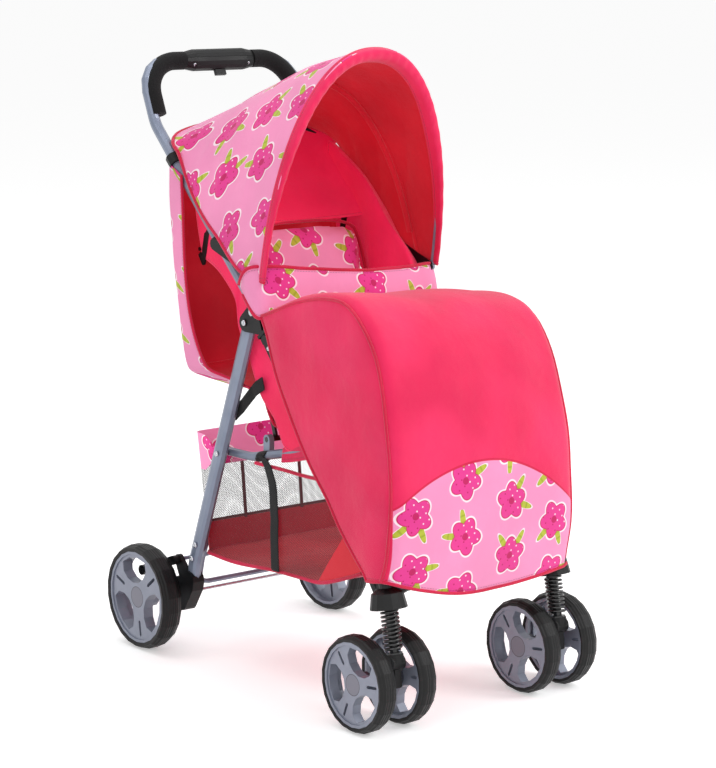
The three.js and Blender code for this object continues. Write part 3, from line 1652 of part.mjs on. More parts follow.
// Hood: cloth over the bows, with a band turned in round the front edge
const hood_edge_forward = 6.6;
const hood_edge_up = 3;
const hood_band_width = 14;
const hood_band_forward = 1;
const hood_rear_half_width = 113;
const hood_sag = 3;
const hood_taper_share = 0.83;
const hood_foot_shares = [
  [0.057, 0.012],
  [0.24, 0.147],
  [0.429, 0.308],
  [0.555, 0.489],
];
const hood_top_shares = [
  [-0.001, 0.909],
  [0.331, 0.777],
  [0.542, 0.699],
  [0.751, 0.597],
];
const hood_rows = 10;
const hood_columns = bow_steps;
const hood_front_foot = side(front_bow_pivot.x - hood_edge_forward, front_bow_pivot.y + hood_edge_up);
const hood_front_top = moved(hood_front_foot, heading(front_bow_angle), hood_rise);
const onHood = fromPivot(mid_bow_pivot, hood_rise);
const hood_foot = curveThrough([hood_front_foot, ...hood_foot_shares.map(onHood)]);
const hood_top = curveThrough([hood_front_top, ...hood_top_shares.map(onHood)]);

function hoodPoint(v, u) {
  const band_share = 1 / hood_rows;
  if (v < band_share / 2) {
    const foot = side(hood_front_foot.x - hood_band_forward, hood_front_foot.y);
    return archPoint(
      u,
      hood_half_width - hood_band_width,
      hood_rise - hood_band_width,
      foot,
      heading(front_bow_angle),
    );
  }
  const along = (v - band_share) / (1 - band_share);
  const foot = hood_foot(along);
  const rise = hood_top(along).sub(foot);
  const half_width = mix(hood_half_width, hood_rear_half_width, smooth(1 - (1 - along) / hood_taper_share));
  const sag = hood_sag * Math.sin(Math.PI * along * 2) ** 2 * Math.sin(Math.PI * u);
  return archPoint(u, half_width, rise.length() - sag, foot, rise.normalize());
}
const hood_inside = vec(0, hinge_depth, hinge_height + hood_rise / 2);
add(
  "hood_fabric",
  clothSheet(hood_rows, hood_columns, hoodPoint, cloth_thickness, hood_inside),
  print_cloth,
);

// Back curtain: a deep apron of cloth behind the seat, with a wing on each side outside the handle tubes
const curtain_front_shares = [
  [0.474, 0.511],
  [0.474, 0.405],
  [0.471, 0.203],
  [0.446, -0.001],
  [0.385, -0.159],
  [0.323, -0.255],
];
const curtain_rear_shares = [
  [0.606, 0.509],
  [0.607, 0.395],
  [0.589, 0.189],
  [0.557, -0.016],
  [0.524, -0.176],
  [0.498, -0.292],
];
const curtain_half_width = tube_outer + 2 * running_gap + cloth_thickness;
const curtain_corner_radius = 8;
const curtain_crown = 4;
const curtain_rows = 7;
const onCurtain = fromPivot(hinge, handle_straight_length);
const curtain_front = curveThrough(curtain_front_shares.map(onCurtain));
const curtain_rear = curveThrough(curtain_rear_shares.map(onCurtain));
const curtainPoint = (v, u) =>
  wrapPoint(
    u,
    curtain_front(v),
    curtain_rear(v),
    curtain_half_width,
    curtain_corner_radius,
    curtain_crown * smooth(v / crown_share),
  );
const curtain_inside = vec(0, hinge_depth, hinge_height);
add(
  "back_curtain",
  clothSheet(curtain_rows, wrap_columns, curtainPoint, cloth_thickness, curtain_inside),
  print_cloth,
);

// Basket: an open-topped bag whose front leans with the front tubes, hung from the rails by two straps
const basket_wall = 1.2;
const basket_front_half_width = 96.8;
const basket_floor_front = -152;
const basket_floor_rear = 127;
const basket_floor_height = 119.5;
const basket_floor_break = -84;
const basket_floor_slope_share = 0.46;
const basket_rim_front = -99;
const basket_rim_rear = 141;
const basket_rim_height = 237;
const basket_rim_dip = 232;
const basket_rear_rim_height = 252;
const basket_corner_radius = 12;
const basket_station_shares = [0, 0.15, 0.45, 0.68, 0.8, 0.865, 0.93, 1];

function basketHeight(y, level) {
  const floor = basket_floor_height + Math.max(0, basket_floor_break - y) * basket_floor_slope_share;
  const dip = mix(
    basket_rim_height,
    basket_rim_dip,
    smooth((y - backrest_hinge_depth) / (rail_low_depth - backrest_hinge_depth)),
  );
  const rear_rise = smooth((y - seat_pivot_depth - lug_radius * 2) / (lug_radius * 2));
  return mix(floor, mix(dip, basket_rear_rim_height, rear_rise), level);
}

function basketRing(level, inset, lift) {
  const front = mix(basket_floor_front, basket_rim_front, level) + inset;
  const rear = mix(basket_floor_rear, basket_rim_rear, level) - inset;
  const ring = [];
  const stations = basket_station_shares.length - 1;
  for (let i = 0; i <= stations; i++) {
    const y = mix(front, rear, basket_station_shares[i]);
    const narrowing = smooth((rail_low_depth - y) / (rail_low_depth - rail_front_depth));
    const half_width = mix(basket_half_width, basket_front_half_width, narrowing) - inset;
    const corner = i === 0 || i === stations ? basket_corner_radius : 0;
    ring.push(vec(half_width - corner, y, basketHeight(y, level) + lift));
  }
  return [...ring, ...ring.map((point) => vec(-point.x, point.y, point.z)).reverse()];
}

const basket_levels = [0, 0.08, 0.55, 1];
const outer_basket = loft(
  basket_levels.map((level) => basketRing(level, level ? 0 : basket_corner_radius / 3, 0)),
);
const inner_levels = basket_levels.map((level) => {
  const inset = basket_wall + (level ? 0 : basket_corner_radius / 3);
  return basketRing(level, inset, level < 1 ? basket_wall : 0);
});
const above_rim = inner_levels[inner_levels.length - 1].map(
  (point) => vec(point.x, point.y, point.z + overrun),
);
const strap_half_width = 6;
const strap_thickness = 0.9;
const strap_place = 13.6;
const strap_rail_height = railHeight(strap_place);
const strap_top = strap_rail_height + seat_rail_radius / 2;
const straps = [1, -1].flatMap((hand) => {
  const run_from = basket_half_width - basket_wall / 2;
  const run_to = basket_half_width + strap_thickness;
  const run_low = basket_floor_height + basket_corner_radius;
  const run = new THREE.BoxGeometry(run_to - run_from, strap_half_width * 2, strap_top - run_low);
  const hook_from = seat_rail_plane + seat_rail_radius + running_gap;
  const hook = new THREE.BoxGeometry(run_to - hook_from, strap_half_width * 2, seat_rail_radius);
  return [
    run.translate((hand * (run_from + run_to)) / 2, strap_place, (strap_top + run_low) / 2),
    hook.translate((hand * (hook_from + run_to)) / 2, strap_place, strap_rail_height),
  ];
});
const basket_shell = cut(outer_basket, loft([...inner_levels, above_rim]));
add("basket", join(basket_shell, ...straps), dark_cloth);

export default stroller;
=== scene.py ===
import math

import bmesh
import bpy
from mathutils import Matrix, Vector, noise


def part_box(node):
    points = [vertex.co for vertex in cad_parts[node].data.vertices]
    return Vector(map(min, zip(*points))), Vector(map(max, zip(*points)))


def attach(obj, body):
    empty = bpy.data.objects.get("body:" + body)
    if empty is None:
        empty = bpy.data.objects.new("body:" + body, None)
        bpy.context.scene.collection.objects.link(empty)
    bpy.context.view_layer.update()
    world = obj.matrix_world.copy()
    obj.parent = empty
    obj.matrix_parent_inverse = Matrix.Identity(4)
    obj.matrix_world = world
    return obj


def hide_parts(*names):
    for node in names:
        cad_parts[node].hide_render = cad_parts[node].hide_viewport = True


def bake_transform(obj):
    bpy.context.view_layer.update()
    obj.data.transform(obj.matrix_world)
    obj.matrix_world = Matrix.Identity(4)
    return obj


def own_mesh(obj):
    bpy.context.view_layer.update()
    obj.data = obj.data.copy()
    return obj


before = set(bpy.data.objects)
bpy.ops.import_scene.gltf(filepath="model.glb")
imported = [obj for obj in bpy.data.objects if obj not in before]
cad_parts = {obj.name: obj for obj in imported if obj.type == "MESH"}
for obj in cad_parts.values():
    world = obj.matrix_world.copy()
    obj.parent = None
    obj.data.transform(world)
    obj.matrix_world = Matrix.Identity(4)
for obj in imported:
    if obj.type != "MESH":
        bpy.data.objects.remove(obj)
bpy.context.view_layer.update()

# The whole stroller, as the frame gives it: its box is kept, and places on the side plane are
# written in millimetres from the middle of the wheelbase, which lies a little in front of the origin.
mm = 0.001
wheelbase_middle = -4.65


def at(x, y, z):
    return Vector((x, y + wheelbase_middle, z)) * mm


# The camera stands in front of the stroller and to its left, a little above the foot cover,
# with a long lens, as for a catalogue picture.
camera_data = bpy.data.cameras.new("camera")
camera_data.lens = 115.5
camera_data.sensor_width = 36
camera = bpy.data.objects.new("camera", camera_data)
bpy.context.scene.collection.objects.link(camera)
eye = at(-1640.4, -2077.4, 780.4)
aim = at(18.4, 0, 314.6)
camera.location = eye
camera.rotation_euler = (aim - eye).to_track_quat("-Z", "Y").to_euler()
bpy.context.scene.camera = camera
bpy.context.scene.view_settings.view_transform = "Standard"


# The studio: a wide white floor that runs out of sight, a white world, and three soft lamps.
# The key lamp stands to the front right, so that the side nearest the camera is a little darker.
class Shade:
    """A socket in a node tree. Arithmetic on it adds Math nodes."""

    def __init__(self, tree, socket=None):
        self.tree = tree
        self.socket = socket

    def node(self, kind, inputs=None, output=0, stops=None, **settings):
        made = self.tree.nodes.new(kind)
        for key, value in settings.items():
            setattr(made, key, value)
        for index, (place, colour) in enumerate(stops or []):
            ramp = made.color_ramp.elements
            stop = ramp[index] if index < 2 else ramp.new(place)
            stop.position = place
            stop.color = colour
        for key, value in (inputs or {}).items():
            if isinstance(value, Shade):
                self.tree.links.new(value.socket, made.inputs[key])
            else:
                made.inputs[key].default_value = value
        return Shade(self.tree, made.outputs[output])

    def maths(self, operation, first, second=0.0):
        return self.node("ShaderNodeMath", {0: first, 1: second}, operation=operation)

    def __add__(self, other):
        return self.maths("ADD", self, other)

    def __radd__(self, other):
        return self.maths("ADD", other, self)

    def __sub__(self, other):
        return self.maths("SUBTRACT", self, other)

    def __rsub__(self, other):
        return self.maths("SUBTRACT", other, self)

    def __mul__(self, other):
        return self.maths("MULTIPLY", self, other)

    def __truediv__(self, other):
        return self.maths("DIVIDE", self, other)

    def __pow__(self, other):
        return self.maths("POWER", self, other)

    def apply(self, operation, other=0.0):
        return self.maths(operation, self, other)

    def between(self, low, high):
        """0 below low, 1 above high, smooth between them."""
        return self.node("ShaderNodeMapRange", {0: self, 1: low, 2: high}, interpolation_type="SMOOTHSTEP")

    def tint(self, low, high):
        """The colour low where this is 0, and high where it is 1."""
        return self.node("ShaderNodeMix", {0: self, 6: low, 7: high}, output=2, data_type="RGBA")

    def axis(self, name):
        return self.node("ShaderNodeSeparateXYZ", {0: self}, output=name)


def paint(red, green, blue):
    """A colour as it is seen on a screen, from 0 to 255, as a shader colour."""
    channels = [value / 255 for value in (red, green, blue)]
    linear = [c / 12.92 if c < 0.04045 else ((c + 0.055) / 1.055) ** 2.4 for c in channels]
    return (*linear, 1.0)


def own_material(name):
    material = bpy.data.materials.new(name)
    material.use_nodes = True
    return material, Shade(material.node_tree)


def finish_surface(material, bump=None, bump_depth=0.0, **sockets):
    """Sets or links the main shader's sockets, named in lower case, and adds a bump of a depth in metres."""
    tree = material.node_tree
    surface = tree.nodes["Principled BSDF"]
    for key, value in sockets.items():
        socket = surface.inputs[key.replace("_", " ").title().replace("Ior", "IOR")]
        if isinstance(value, Shade):
            tree.links.new(value.socket, socket)
        else:
            socket.default_value = value
    if bump:
        relief = bump.node("ShaderNodeBump", {"Height": bump, "Distance": bump_depth, "Strength": 1.0})
        tree.links.new(relief.socket, surface.inputs["Normal"])
    return material


def looked_at(shade):
    """1 on rays from the camera and on mirrored ones, 0 on the rays that carry light about."""
    seen = shade.node("ShaderNodeLightPath", output="Is Camera Ray")
    glossy = shade.node("ShaderNodeLightPath", output="Is Glossy Ray")
    return seen.apply("MAXIMUM", glossy)


floor_size = 120
floor_white = 0.93
floor_glow = 0.385
world_level = 0.62
floor_mesh = bmesh.new()
bmesh.ops.create_grid(floor_mesh, x_segments=1, y_segments=1, size=floor_size / 2)
floor_data = bpy.data.meshes.new("floor")
floor_mesh.to_mesh(floor_data)
floor_mesh.free()
floor = bpy.data.objects.new("floor", floor_data)
bpy.context.scene.collection.objects.link(floor)
floor_material, shade = own_material("studio_floor")
glow = shade.node("ShaderNodeEmission", {"Color": (1, 1, 1, 1), "Strength": looked_at(shade) * floor_glow})
matt = shade.node("ShaderNodeBsdfDiffuse", {"Color": (floor_white, floor_white, floor_white, 1)})
both = shade.node("ShaderNodeAddShader", {0: matt, 1: glow})
floor_output = floor_material.node_tree.nodes["Material Output"]
floor_material.node_tree.links.new(both.socket, floor_output.inputs["Surface"])
floor_data.materials.append(floor_material)

world = bpy.data.worlds.new("studio")
world.use_nodes = True
bpy.context.scene.world = world
air = Shade(world.node_tree)
level = looked_at(air) * (1 - world_level) + world_level
backdrop = air.node("ShaderNodeBackground", {"Color": (1, 1, 1, 1), "Strength": level})
world.node_tree.links.new(backdrop.socket, world.node_tree.nodes["World Output"].inputs["Surface"])

for lamp_name, place, size, power in [
    ("key_lamp", Vector((1.5, -2.6, 2.4)), 1.6, 62),
    ("fill_lamp", Vector((-2.8, -1.4, 1.5)), 2.0, 22),
    ("top_lamp", Vector((-0.2, 0.6, 3.0)), 2.4, 26),
]:
    lamp_data = bpy.data.lights.new(lamp_name, "AREA")
    lamp_data.size = size
    lamp_data.energy = power
    lamp = bpy.data.objects.new(lamp_name, lamp_data)
    lamp.location = place
    lamp.rotation_euler = (Vector((0, 0, 0.3)) - place).to_track_quat("-Z", "Y").to_euler()
    bpy.context.scene.collection.objects.link(lamp)


# Frame tubes: welded steel tube and rod under a blue-grey powder coat with a fine orange peel.
# The coat is a little thinner and brighter here and there, as on a batch of toys.
def give(material, *nodes):
    """Puts a finish on nodes of the frame."""
    for node in nodes:
        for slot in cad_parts[node].material_slots:
            slot.material = material


def own_place(shade):
    """The place on a piece, in metres."""
    return shade.node("ShaderNodeTexCoord", output="Object")


def speckle(shade, size, detail=2.0):
    """Noise on the piece's own coordinates, with spots of a size in metres."""
    return shade.node("ShaderNodeTexNoise", {"Vector": own_place(shade), "Scale": 1 / size, "Detail": detail})


powder_coat, shade = own_material("blue_grey_powder_coat")
coat_blotch = speckle(shade, 0.04).between(0.35, 0.65)
coat_peel = speckle(shade, 0.0011, 1.0)
finish_surface(
    powder_coat,
    base_color=coat_blotch.tint(paint(118, 127, 146), paint(132, 141, 160)),
    roughness=coat_blotch * 0.08 + 0.34,
    metallic=0.35,
    coat_weight=0.2,
    bump=coat_peel,
    bump_depth=0.00005,
)
give(powder_coat, "front_tube_left", "front_tube_right", "rear_leg_left", "rear_leg_right", "rear_brace")
give(powder_coat, "handle_tube", "seat_frame", "brake_bar", "hood_front_bow", "hood_mid_bow")

bright_zinc, shade = own_material("bright_zinc")
zinc_streak = speckle(shade, 0.006)
finish_surface(
    bright_zinc,
    base_color=zinc_streak.tint(paint(165, 168, 175), paint(205, 207, 212)),
    roughness=zinc_streak * 0.2 + 0.15,
    metallic=1.0,
    bump=zinc_streak,
    bump_depth=0.00004,
)
give(bright_zinc, "handle_pivot_pin_left", "handle_pivot_pin_right", "cross_rod")
give(bright_zinc, "front_axle_left", "front_axle_right")

black_enamel, shade = own_material("black_enamel")
enamel_dust = speckle(shade, 0.012).between(0.45, 0.7)
finish_surface(
    black_enamel,
    base_color=enamel_dust.tint(paint(7, 7, 8), paint(18, 18, 20)),
    roughness=enamel_dust * 0.15 + 0.28,
    coat_weight=0.4,
    bump=speckle(shade, 0.0015),
    bump_depth=0.00004,
)
give(black_enamel, "backrest_frame", "caster_stem_left", "caster_stem_right")

# Mouldings: brackets, clips, forks, crossbar and pedals are black nylon with a spark-eroded grain,
# a little paler where fingers and shoes rub them.
black_nylon, shade = own_material("black_nylon")
nylon_rub = speckle(shade, 0.03).between(0.4, 0.75)
nylon_grain = speckle(shade, 0.0008, 3.0)
finish_surface(
    black_nylon,
    base_color=nylon_rub.tint(paint(5, 5, 6), paint(13, 13, 15)),
    roughness=nylon_rub * 0.12 + 0.42,
    specular_ior_level=0.3,
    bump=nylon_grain,
    bump_depth=0.00009,
)
paired_mouldings = ["hinge_bracket", "caster_fork", "axle_bracket", "brake_pedal"]
paired_mouldings += ["hood_clip", "recline_arm", "latch_lever"]
for moulding in paired_mouldings:
    give(black_nylon, moulding + "_left", moulding + "_right")
give(black_nylon, "front_crossbar", "grip_housing_upper", "grip_housing_lower", "hood_rear_bow")

# Foam grips: closed-cell foam sleeves, matt and finely pitted, pushed over the bends of the handle.
grip_foam, shade = own_material("grip_foam")
foam_cells = shade.node("ShaderNodeTexVoronoi", {"Vector": own_place(shade), "Scale": 900.0})
foam_shine = speckle(shade, 0.025)
finish_surface(
    grip_foam,
    base_color=foam_shine.tint(paint(5, 5, 6), paint(13, 13, 14)),
    roughness=foam_shine * 0.1 + 0.82,
    bump=foam_cells,
    bump_depth=0.0003,
    sheen_weight=0.04,
    sheen_roughness=0.6,
    specular_ior_level=0.25,
)

# Wheels: grey moulded rims with a satin metal look and black tyres of foamed plastic.
# The tread has fine ribs round it, and the walls pick up pale dust.
rim_grey, shade = own_material("rim_grey")
rim_flow = speckle(shade, 0.02)


def cap_edge_of(shade, axle_y, axle_z, radius):
    """The distance from the edge of a hub cap round an axle, in metres."""
    from_axle_y = own_place(shade).axis("Y") - axle_y
    from_axle_z = own_place(shade).axis("Z") - axle_z
    return (from_axle_y * from_axle_y + from_axle_z * from_axle_z).apply("SQRT") - radius


rear_cap_edge = cap_edge_of(shade, 0.19335, 0.06, 0.0118)
front_cap_edge = cap_edge_of(shade, -0.20265, 0.0507, 0.0110)
cap_edge = rear_cap_edge.apply("MINIMUM", front_cap_edge)
rim_colour = rim_flow.tint(paint(122, 127, 142), paint(142, 147, 162))
rim_colour = cap_edge.between(-0.0003, 0.0001).tint(paint(116, 116, 128), rim_colour)
cap_gap = cap_edge.apply("ABSOLUTE").between(0.0002, 0.0006)
finish_surface(
    rim_grey,
    base_color=cap_gap.tint(paint(72, 74, 84), rim_colour),
    roughness=rim_flow * 0.1 + 0.33,
    metallic=0.25,
    coat_weight=0.15,
    bump=speckle(shade, 0.001),
    bump_depth=0.00004,
)
tyre_rubber, shade = own_material("tyre_rubber")
tread_pitch = 0.0032
tread_ribs = (own_place(shade).axis("X") * (2 * math.pi / tread_pitch)).apply("COSINE")
tyre_dust = speckle(shade, 0.015, 4.0).between(0.5, 0.8)
finish_surface(
    tyre_rubber,
    base_color=tyre_dust.tint(paint(7, 7, 8), paint(26, 25, 25)),
    roughness=tyre_dust * 0.15 + 0.5,
    specular_ior_level=0.3,
    bump=tread_ribs + speckle(shade, 0.002),
    bump_depth=0.00012,
)
wheels = ["rear_wheel_left", "rear_wheel_right"]
wheels += ["front_wheel_left_outer", "front_wheel_left_inner"]
wheels += ["front_wheel_right_outer", "front_wheel_right_inner"]
for wheel in wheels:
    give(rim_grey, wheel + "_rim")
    give(tyre_rubber, wheel + "_tyre")


# Cloths: plain pink polyester, the same in dark red for linings and the basket, and a printed one.
# Each is a close plain weave with a slight sheen, soft rumples and a row of stitches along its edges.
thread = 0.0011
stitch_length = 0.0036
stitch_width = 0.0005
stitch_inset = 0.0035


def cloth_places(shade):
    """The distances across and along the cloth, in metres."""
    flat = shade.node("ShaderNodeUVMap", uv_map="cloth")
    return flat.axis("X"), flat.axis("Y")


def weave_of(across, along):
    warp = (across * (2 * math.pi / thread)).apply("SINE")
    weft = (along * (2 * math.pi / thread)).apply("SINE")
    return warp * weft


def stitches_of(shade, across, along):
    """1 on the thread of a row of stitches that runs a little inside each edge of the cloth."""
    edge = shade.node("ShaderNodeUVMap", uv_map="edge")
    rows = []
    for axis, run in [("X", along), ("Y", across)]:
        line = (edge.axis(axis) - stitch_inset).apply("ABSOLUTE").between(stitch_width / 2, stitch_width)
        dash = (run / stitch_length).apply("FRACT").between(0.68, 0.72)
        rows.append((1 - line) * (1 - dash))
    return rows[0].apply("MAXIMUM", rows[1])


def finish_cloth(material, shade, colour, across, along, glow=0.0):
    """Weave, rumples, stitches and sheen over a colour. Glow is a painted glow: the cloth gives off its own
    colour at that strength, in place of light that comes through it.
    """
    stitches = stitches_of(shade, across, along)
    weave = weave_of(across, along)
    rumple = speckle(shade, 0.035, 3.0)
    creases = speckle(shade, 0.011, 2.0)
    worn = speckle(shade, 0.07).between(0.3, 0.7)
    dark = (worn * 0.1).apply("MAXIMUM", stitches * 0.4)
    shaded = dark.tint(colour, paint(0, 0, 0))
    return finish_surface(
        material,
        base_color=shaded,
        emission_color=shaded,
        emission_strength=glow,
        roughness=worn * 0.1 + 0.72,
        bump=weave * 0.05 + rumple * 2.2 + creases * 0.5 - stitches * 0.4,
        bump_depth=0.0009,
        sheen_weight=0.25,
        sheen_roughness=0.5,
        specular_ior_level=0.25,
    )


def two_tones(shade, light, deep):
    """Broad soft patches of a light and a deep tone of one colour."""
    return speckle(shade, 0.09, 1.0).between(0.3, 0.7).tint(light, deep)


def plain_cloth(name, light, deep, glow=0.0):
    material, shade = own_material(name)
    across, along = cloth_places(shade)
    return finish_cloth(material, shade, two_tones(shade, light, deep), across, along, glow)


# The print: rows of five-petalled blossoms in magenta on rose, each with a dark edge, a white
# outline, small dots and two olive leaves. Every second column is moved down by half a step.
blossom_radius = 0.0205
blossom_step_across = 0.062
blossom_step_along = 0.058
blossom_outline = 0.0019
leaf_reach = 0.0305
dot_step = 0.0078
dot_radius = 0.00075
dot_turn = 0.5
leaf_angles = (0.63, 1.88)
leaf_narrowness = 26
print_softness = 0.0003


def blossom_print(across, along):
    column = (across / blossom_step_across).apply("FLOOR")
    odd = (column * 0.5).apply("FRACT") * 2
    dropped = along / blossom_step_along + odd * 0.5
    row = dropped.apply("FLOOR")
    x = ((across / blossom_step_across).apply("FRACT") - 0.5) * blossom_step_across
    y = (dropped.apply("FRACT") - 0.5) * blossom_step_along
    radius = (x * x + y * y).apply("SQRT")
    turn = column * 2.1 + row * 1.3
    angle = y.apply("ARCTAN2", x) + turn
    petal = ((angle * 5).apply("COSINE") * 0.5 + 0.5) ** 0.6
    edge = radius - (petal * 0.3 + 0.7) * blossom_radius
    leaves = [(angle - way).apply("COSINE").apply("MAXIMUM", 0.0) ** leaf_narrowness for way in leaf_angles]
    leaf = radius - leaves[0].apply("MAXIMUM", leaves[1]) * leaf_reach
    shape = edge.apply("MINIMUM", leaf)
    soft = print_softness
    dot_across = x * math.cos(dot_turn) + y * math.sin(dot_turn)
    dot_along = y * math.cos(dot_turn) - x * math.sin(dot_turn)
    dot_x = (dot_across / dot_step).apply("FRACT") - 0.5
    dot_y = (dot_along / dot_step).apply("FRACT") - 0.5
    dots = ((dot_x * dot_x + dot_y * dot_y).apply("SQRT") * dot_step).between(dot_radius, dot_radius + soft)
    outline = shape.between(blossom_outline, blossom_outline + soft)
    colour = outline.tint(paint(255, 232, 240), paint(248, 150, 195))
    vein = (radius * 900).apply("SINE").between(0.2, 1.0)
    leaf_colour = vein.tint(paint(186, 192, 58), paint(160, 172, 44))
    colour = leaf.between(-soft, soft).tint(leaf_colour, colour)
    dot_colour = dot_across.between(-0.002, 0.002).tint(paint(196, 20, 96), paint(255, 226, 238))
    petals = dots.tint(dot_colour, paint(232, 56, 146))
    heart = radius.between(blossom_radius * 0.17, blossom_radius * 0.2).tint(paint(196, 20, 96), petals)
    rim = (edge + blossom_outline * 0.55).between(-soft, soft).tint(heart, paint(200, 20, 80))
    return edge.between(-soft, soft).tint(rim, colour)


def printed_cloth(name):
    material, shade = own_material(name)
    across, along = cloth_places(shade)
    return finish_cloth(material, shade, blossom_print(across, along), across, along)


pink_cloth = plain_cloth("pink_polyester", paint(238, 40, 96), paint(226, 26, 82))
pipe_cloth = plain_cloth("pink_piping", paint(226, 24, 78), paint(205, 16, 62))
# This pink, used on the side panels and the back cloth, and the dark red lining give off a painted glow of
# their own colour at 0.3 of full strength, so that they look brighter than their lighting makes them.
pink_cloth_painted_glow = plain_cloth("pink_polyester_painted_glow", paint(238, 40, 92), paint(226, 26, 78), 0.3)
lining_cloth = plain_cloth("dark_red_lining", paint(204, 28, 48), paint(182, 20, 38), 0.3)
print_cloth = printed_cloth("blossom_print")


# Springs: one coil of black wire round each caster stem. Its top bears on the hub and its foot on the
# stem's flange.
def piping(name, runs, radius, material=pipe_cloth, roundness=2):
    """Cords, rolled or of wire, along runs of points, as one mesh."""
    curve = bpy.data.curves.new(name, "CURVE")
    curve.dimensions = "3D"
    curve.bevel_depth = radius * mm
    curve.bevel_resolution = roundness
    curve.use_fill_caps = True
    for points in runs:
        spline = curve.splines.new("POLY")
        spline.points.add(len(points) - 1)
        for knot, point in zip(spline.points, points):
            knot.co = (*point, 1)
    drawn = bpy.data.objects.new(name + "_line", curve)
    bpy.context.scene.collection.objects.link(drawn)
    bpy.context.view_layer.update()
    data = bpy.data.meshes.new_from_object(drawn.evaluated_get(bpy.context.evaluated_depsgraph_get()))
    bpy.data.objects.remove(drawn)
    data.name = name
    data.materials.clear()
    data.materials.append(material)
    if not data.uv_layers:
        data.uv_layers.new()
    data.uv_layers[0].name = "cloth"
    for polygon in data.polygons:
        polygon.use_smooth = True
    piece = bpy.data.objects.new(name, data)
    bpy.context.scene.collection.objects.link(piece)
    return piece


def run_of(place_of, steps=40):
    return [place_of(step / steps) for step in range(steps + 1)]


sides = [(-1, "left"), (1, "right")]
spring_top = Vector((-214, 128.5))
spring_side = 112.6
spring_first = 1.65
spring_rise = 41.3
spring_curls = 10
spring_radius = 8.5
spring_wire = 1.35
stem_lean = math.radians(10.5)
stem_down = Vector((-math.sin(stem_lean), -math.cos(stem_lean)))
stem_front = Vector((-math.cos(stem_lean), math.sin(stem_lean)))


def coil_place(hand):
    def place(share):
        angle = 2 * math.pi * spring_curls * share
        middle = spring_top + stem_down * (spring_first + spring_rise * share)
        y, z = middle + stem_front * spring_radius * math.sin(angle)
        return at(hand * (spring_side - spring_radius * math.cos(angle)), y, z)

    return place


for hand, side_name in sides:
    spring = piping("spring_" + side_name, [run_of(coil_place(hand), 240)], spring_wire, black_enamel)
    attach(spring, "front_frame")
    top = at(hand * spring_side, *spring_top)
    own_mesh(spring)
    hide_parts("suspension_spring_" + side_name)

# Foam sleeves: one on each bend of the handle. The foam is pushed round the bend, so its curve is wider
# than the tube's.
grip_height = 660
grip_depth = 234.5
grip_lean = math.radians(22.4)
grip_rise = Vector((math.sin(grip_lean), math.cos(grip_lean)))
foam_bend = 40
foam_drop = 62.8
foam_plane = 98.5
foam_inner = 46.8
foam_radius = 10.2
foam_end_steps = 6
foam_bend_steps = 24


def foam_run(hand):
    """From the lower end straight up, round the bend, and straight in to the housing."""
    places = []
    bend_end = foam_end_steps + foam_bend_steps
    for step in range(bend_end + foam_end_steps + 1):
        turn = math.pi / 2 * max(0, min(1, (step - foam_end_steps) / foam_bend_steps))
        x = foam_plane - foam_bend * (1 - math.cos(turn))
        down = foam_bend * (1 - math.sin(turn))
        down += (foam_drop - foam_bend) * max(0, foam_end_steps - step) / foam_end_steps
        x -= (foam_plane - foam_bend - foam_inner) * max(0, step - bend_end) / foam_end_steps
        y, z = Vector((grip_depth, grip_height)) - grip_rise * down
        places.append(at(hand * x, y, z))
    return places


for hand, side_name in sides:
    foam = piping("foam_sleeve_" + side_name, [foam_run(hand)], foam_radius, grip_foam, 7)
    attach(foam, "handle_frame")
    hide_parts("foam_grip_" + side_name)

# Foot cover: a box of padded pink polyester that buttons to the front tubes. Its two side panels meet
# the front along piped creases, and a print fills a round-topped patch low on the front.
def line_through(points):
    """A smooth curve through points, read at a share of the way along them."""
    points = [Vector(point) for point in points]
    last = len(points) - 1

    def read(share):
        place = min(max(share, 0), 1) * last
        index = min(int(place), last - 1)
        before, start, end, after = (points[min(max(index + step, 0), last)] for step in (-1, 0, 1, 2))
        t = place - index
        rise = (end - before) * t
        bow = (2 * before - 5 * start + 4 * end - after) * t**2
        close = (3 * start - before - 3 * end + after) * t**3
        return (2 * start + rise + bow + close) / 2

    return read


def blend_of(low, high, share):
    return low + (high - low) * share


def ease(share):
    held = min(max(share, 0), 1)
    return held * held * (3 - 2 * held)


rumple_seed = 7
noise.seed_set(rumple_seed)


def rumpled(point, size, depth, seed=0.0):
    """A point moved a little, as cloth that doesn't lie quite flat."""
    return point + noise.noise_vector(point / size + Vector((seed, seed, seed))) * depth


def show(name, mesh, materials):
    """An object of the mesh, whose faces carry the materials."""
    data = bpy.data.meshes.new(name)
    mesh.to_mesh(data)
    mesh.free()
    for material in materials:
        data.materials.append(material)
    for polygon in data.polygons:
        polygon.use_smooth = True
    piece = bpy.data.objects.new(name, data)
    bpy.context.scene.collection.objects.link(piece)
    return piece


def soften(piece):
    """One level of smoothing, the same in the view and in the picture."""
    softness = piece.modifiers.new("softness", "SUBSURF")
    softness.levels = 1
    softness.render_levels = 1


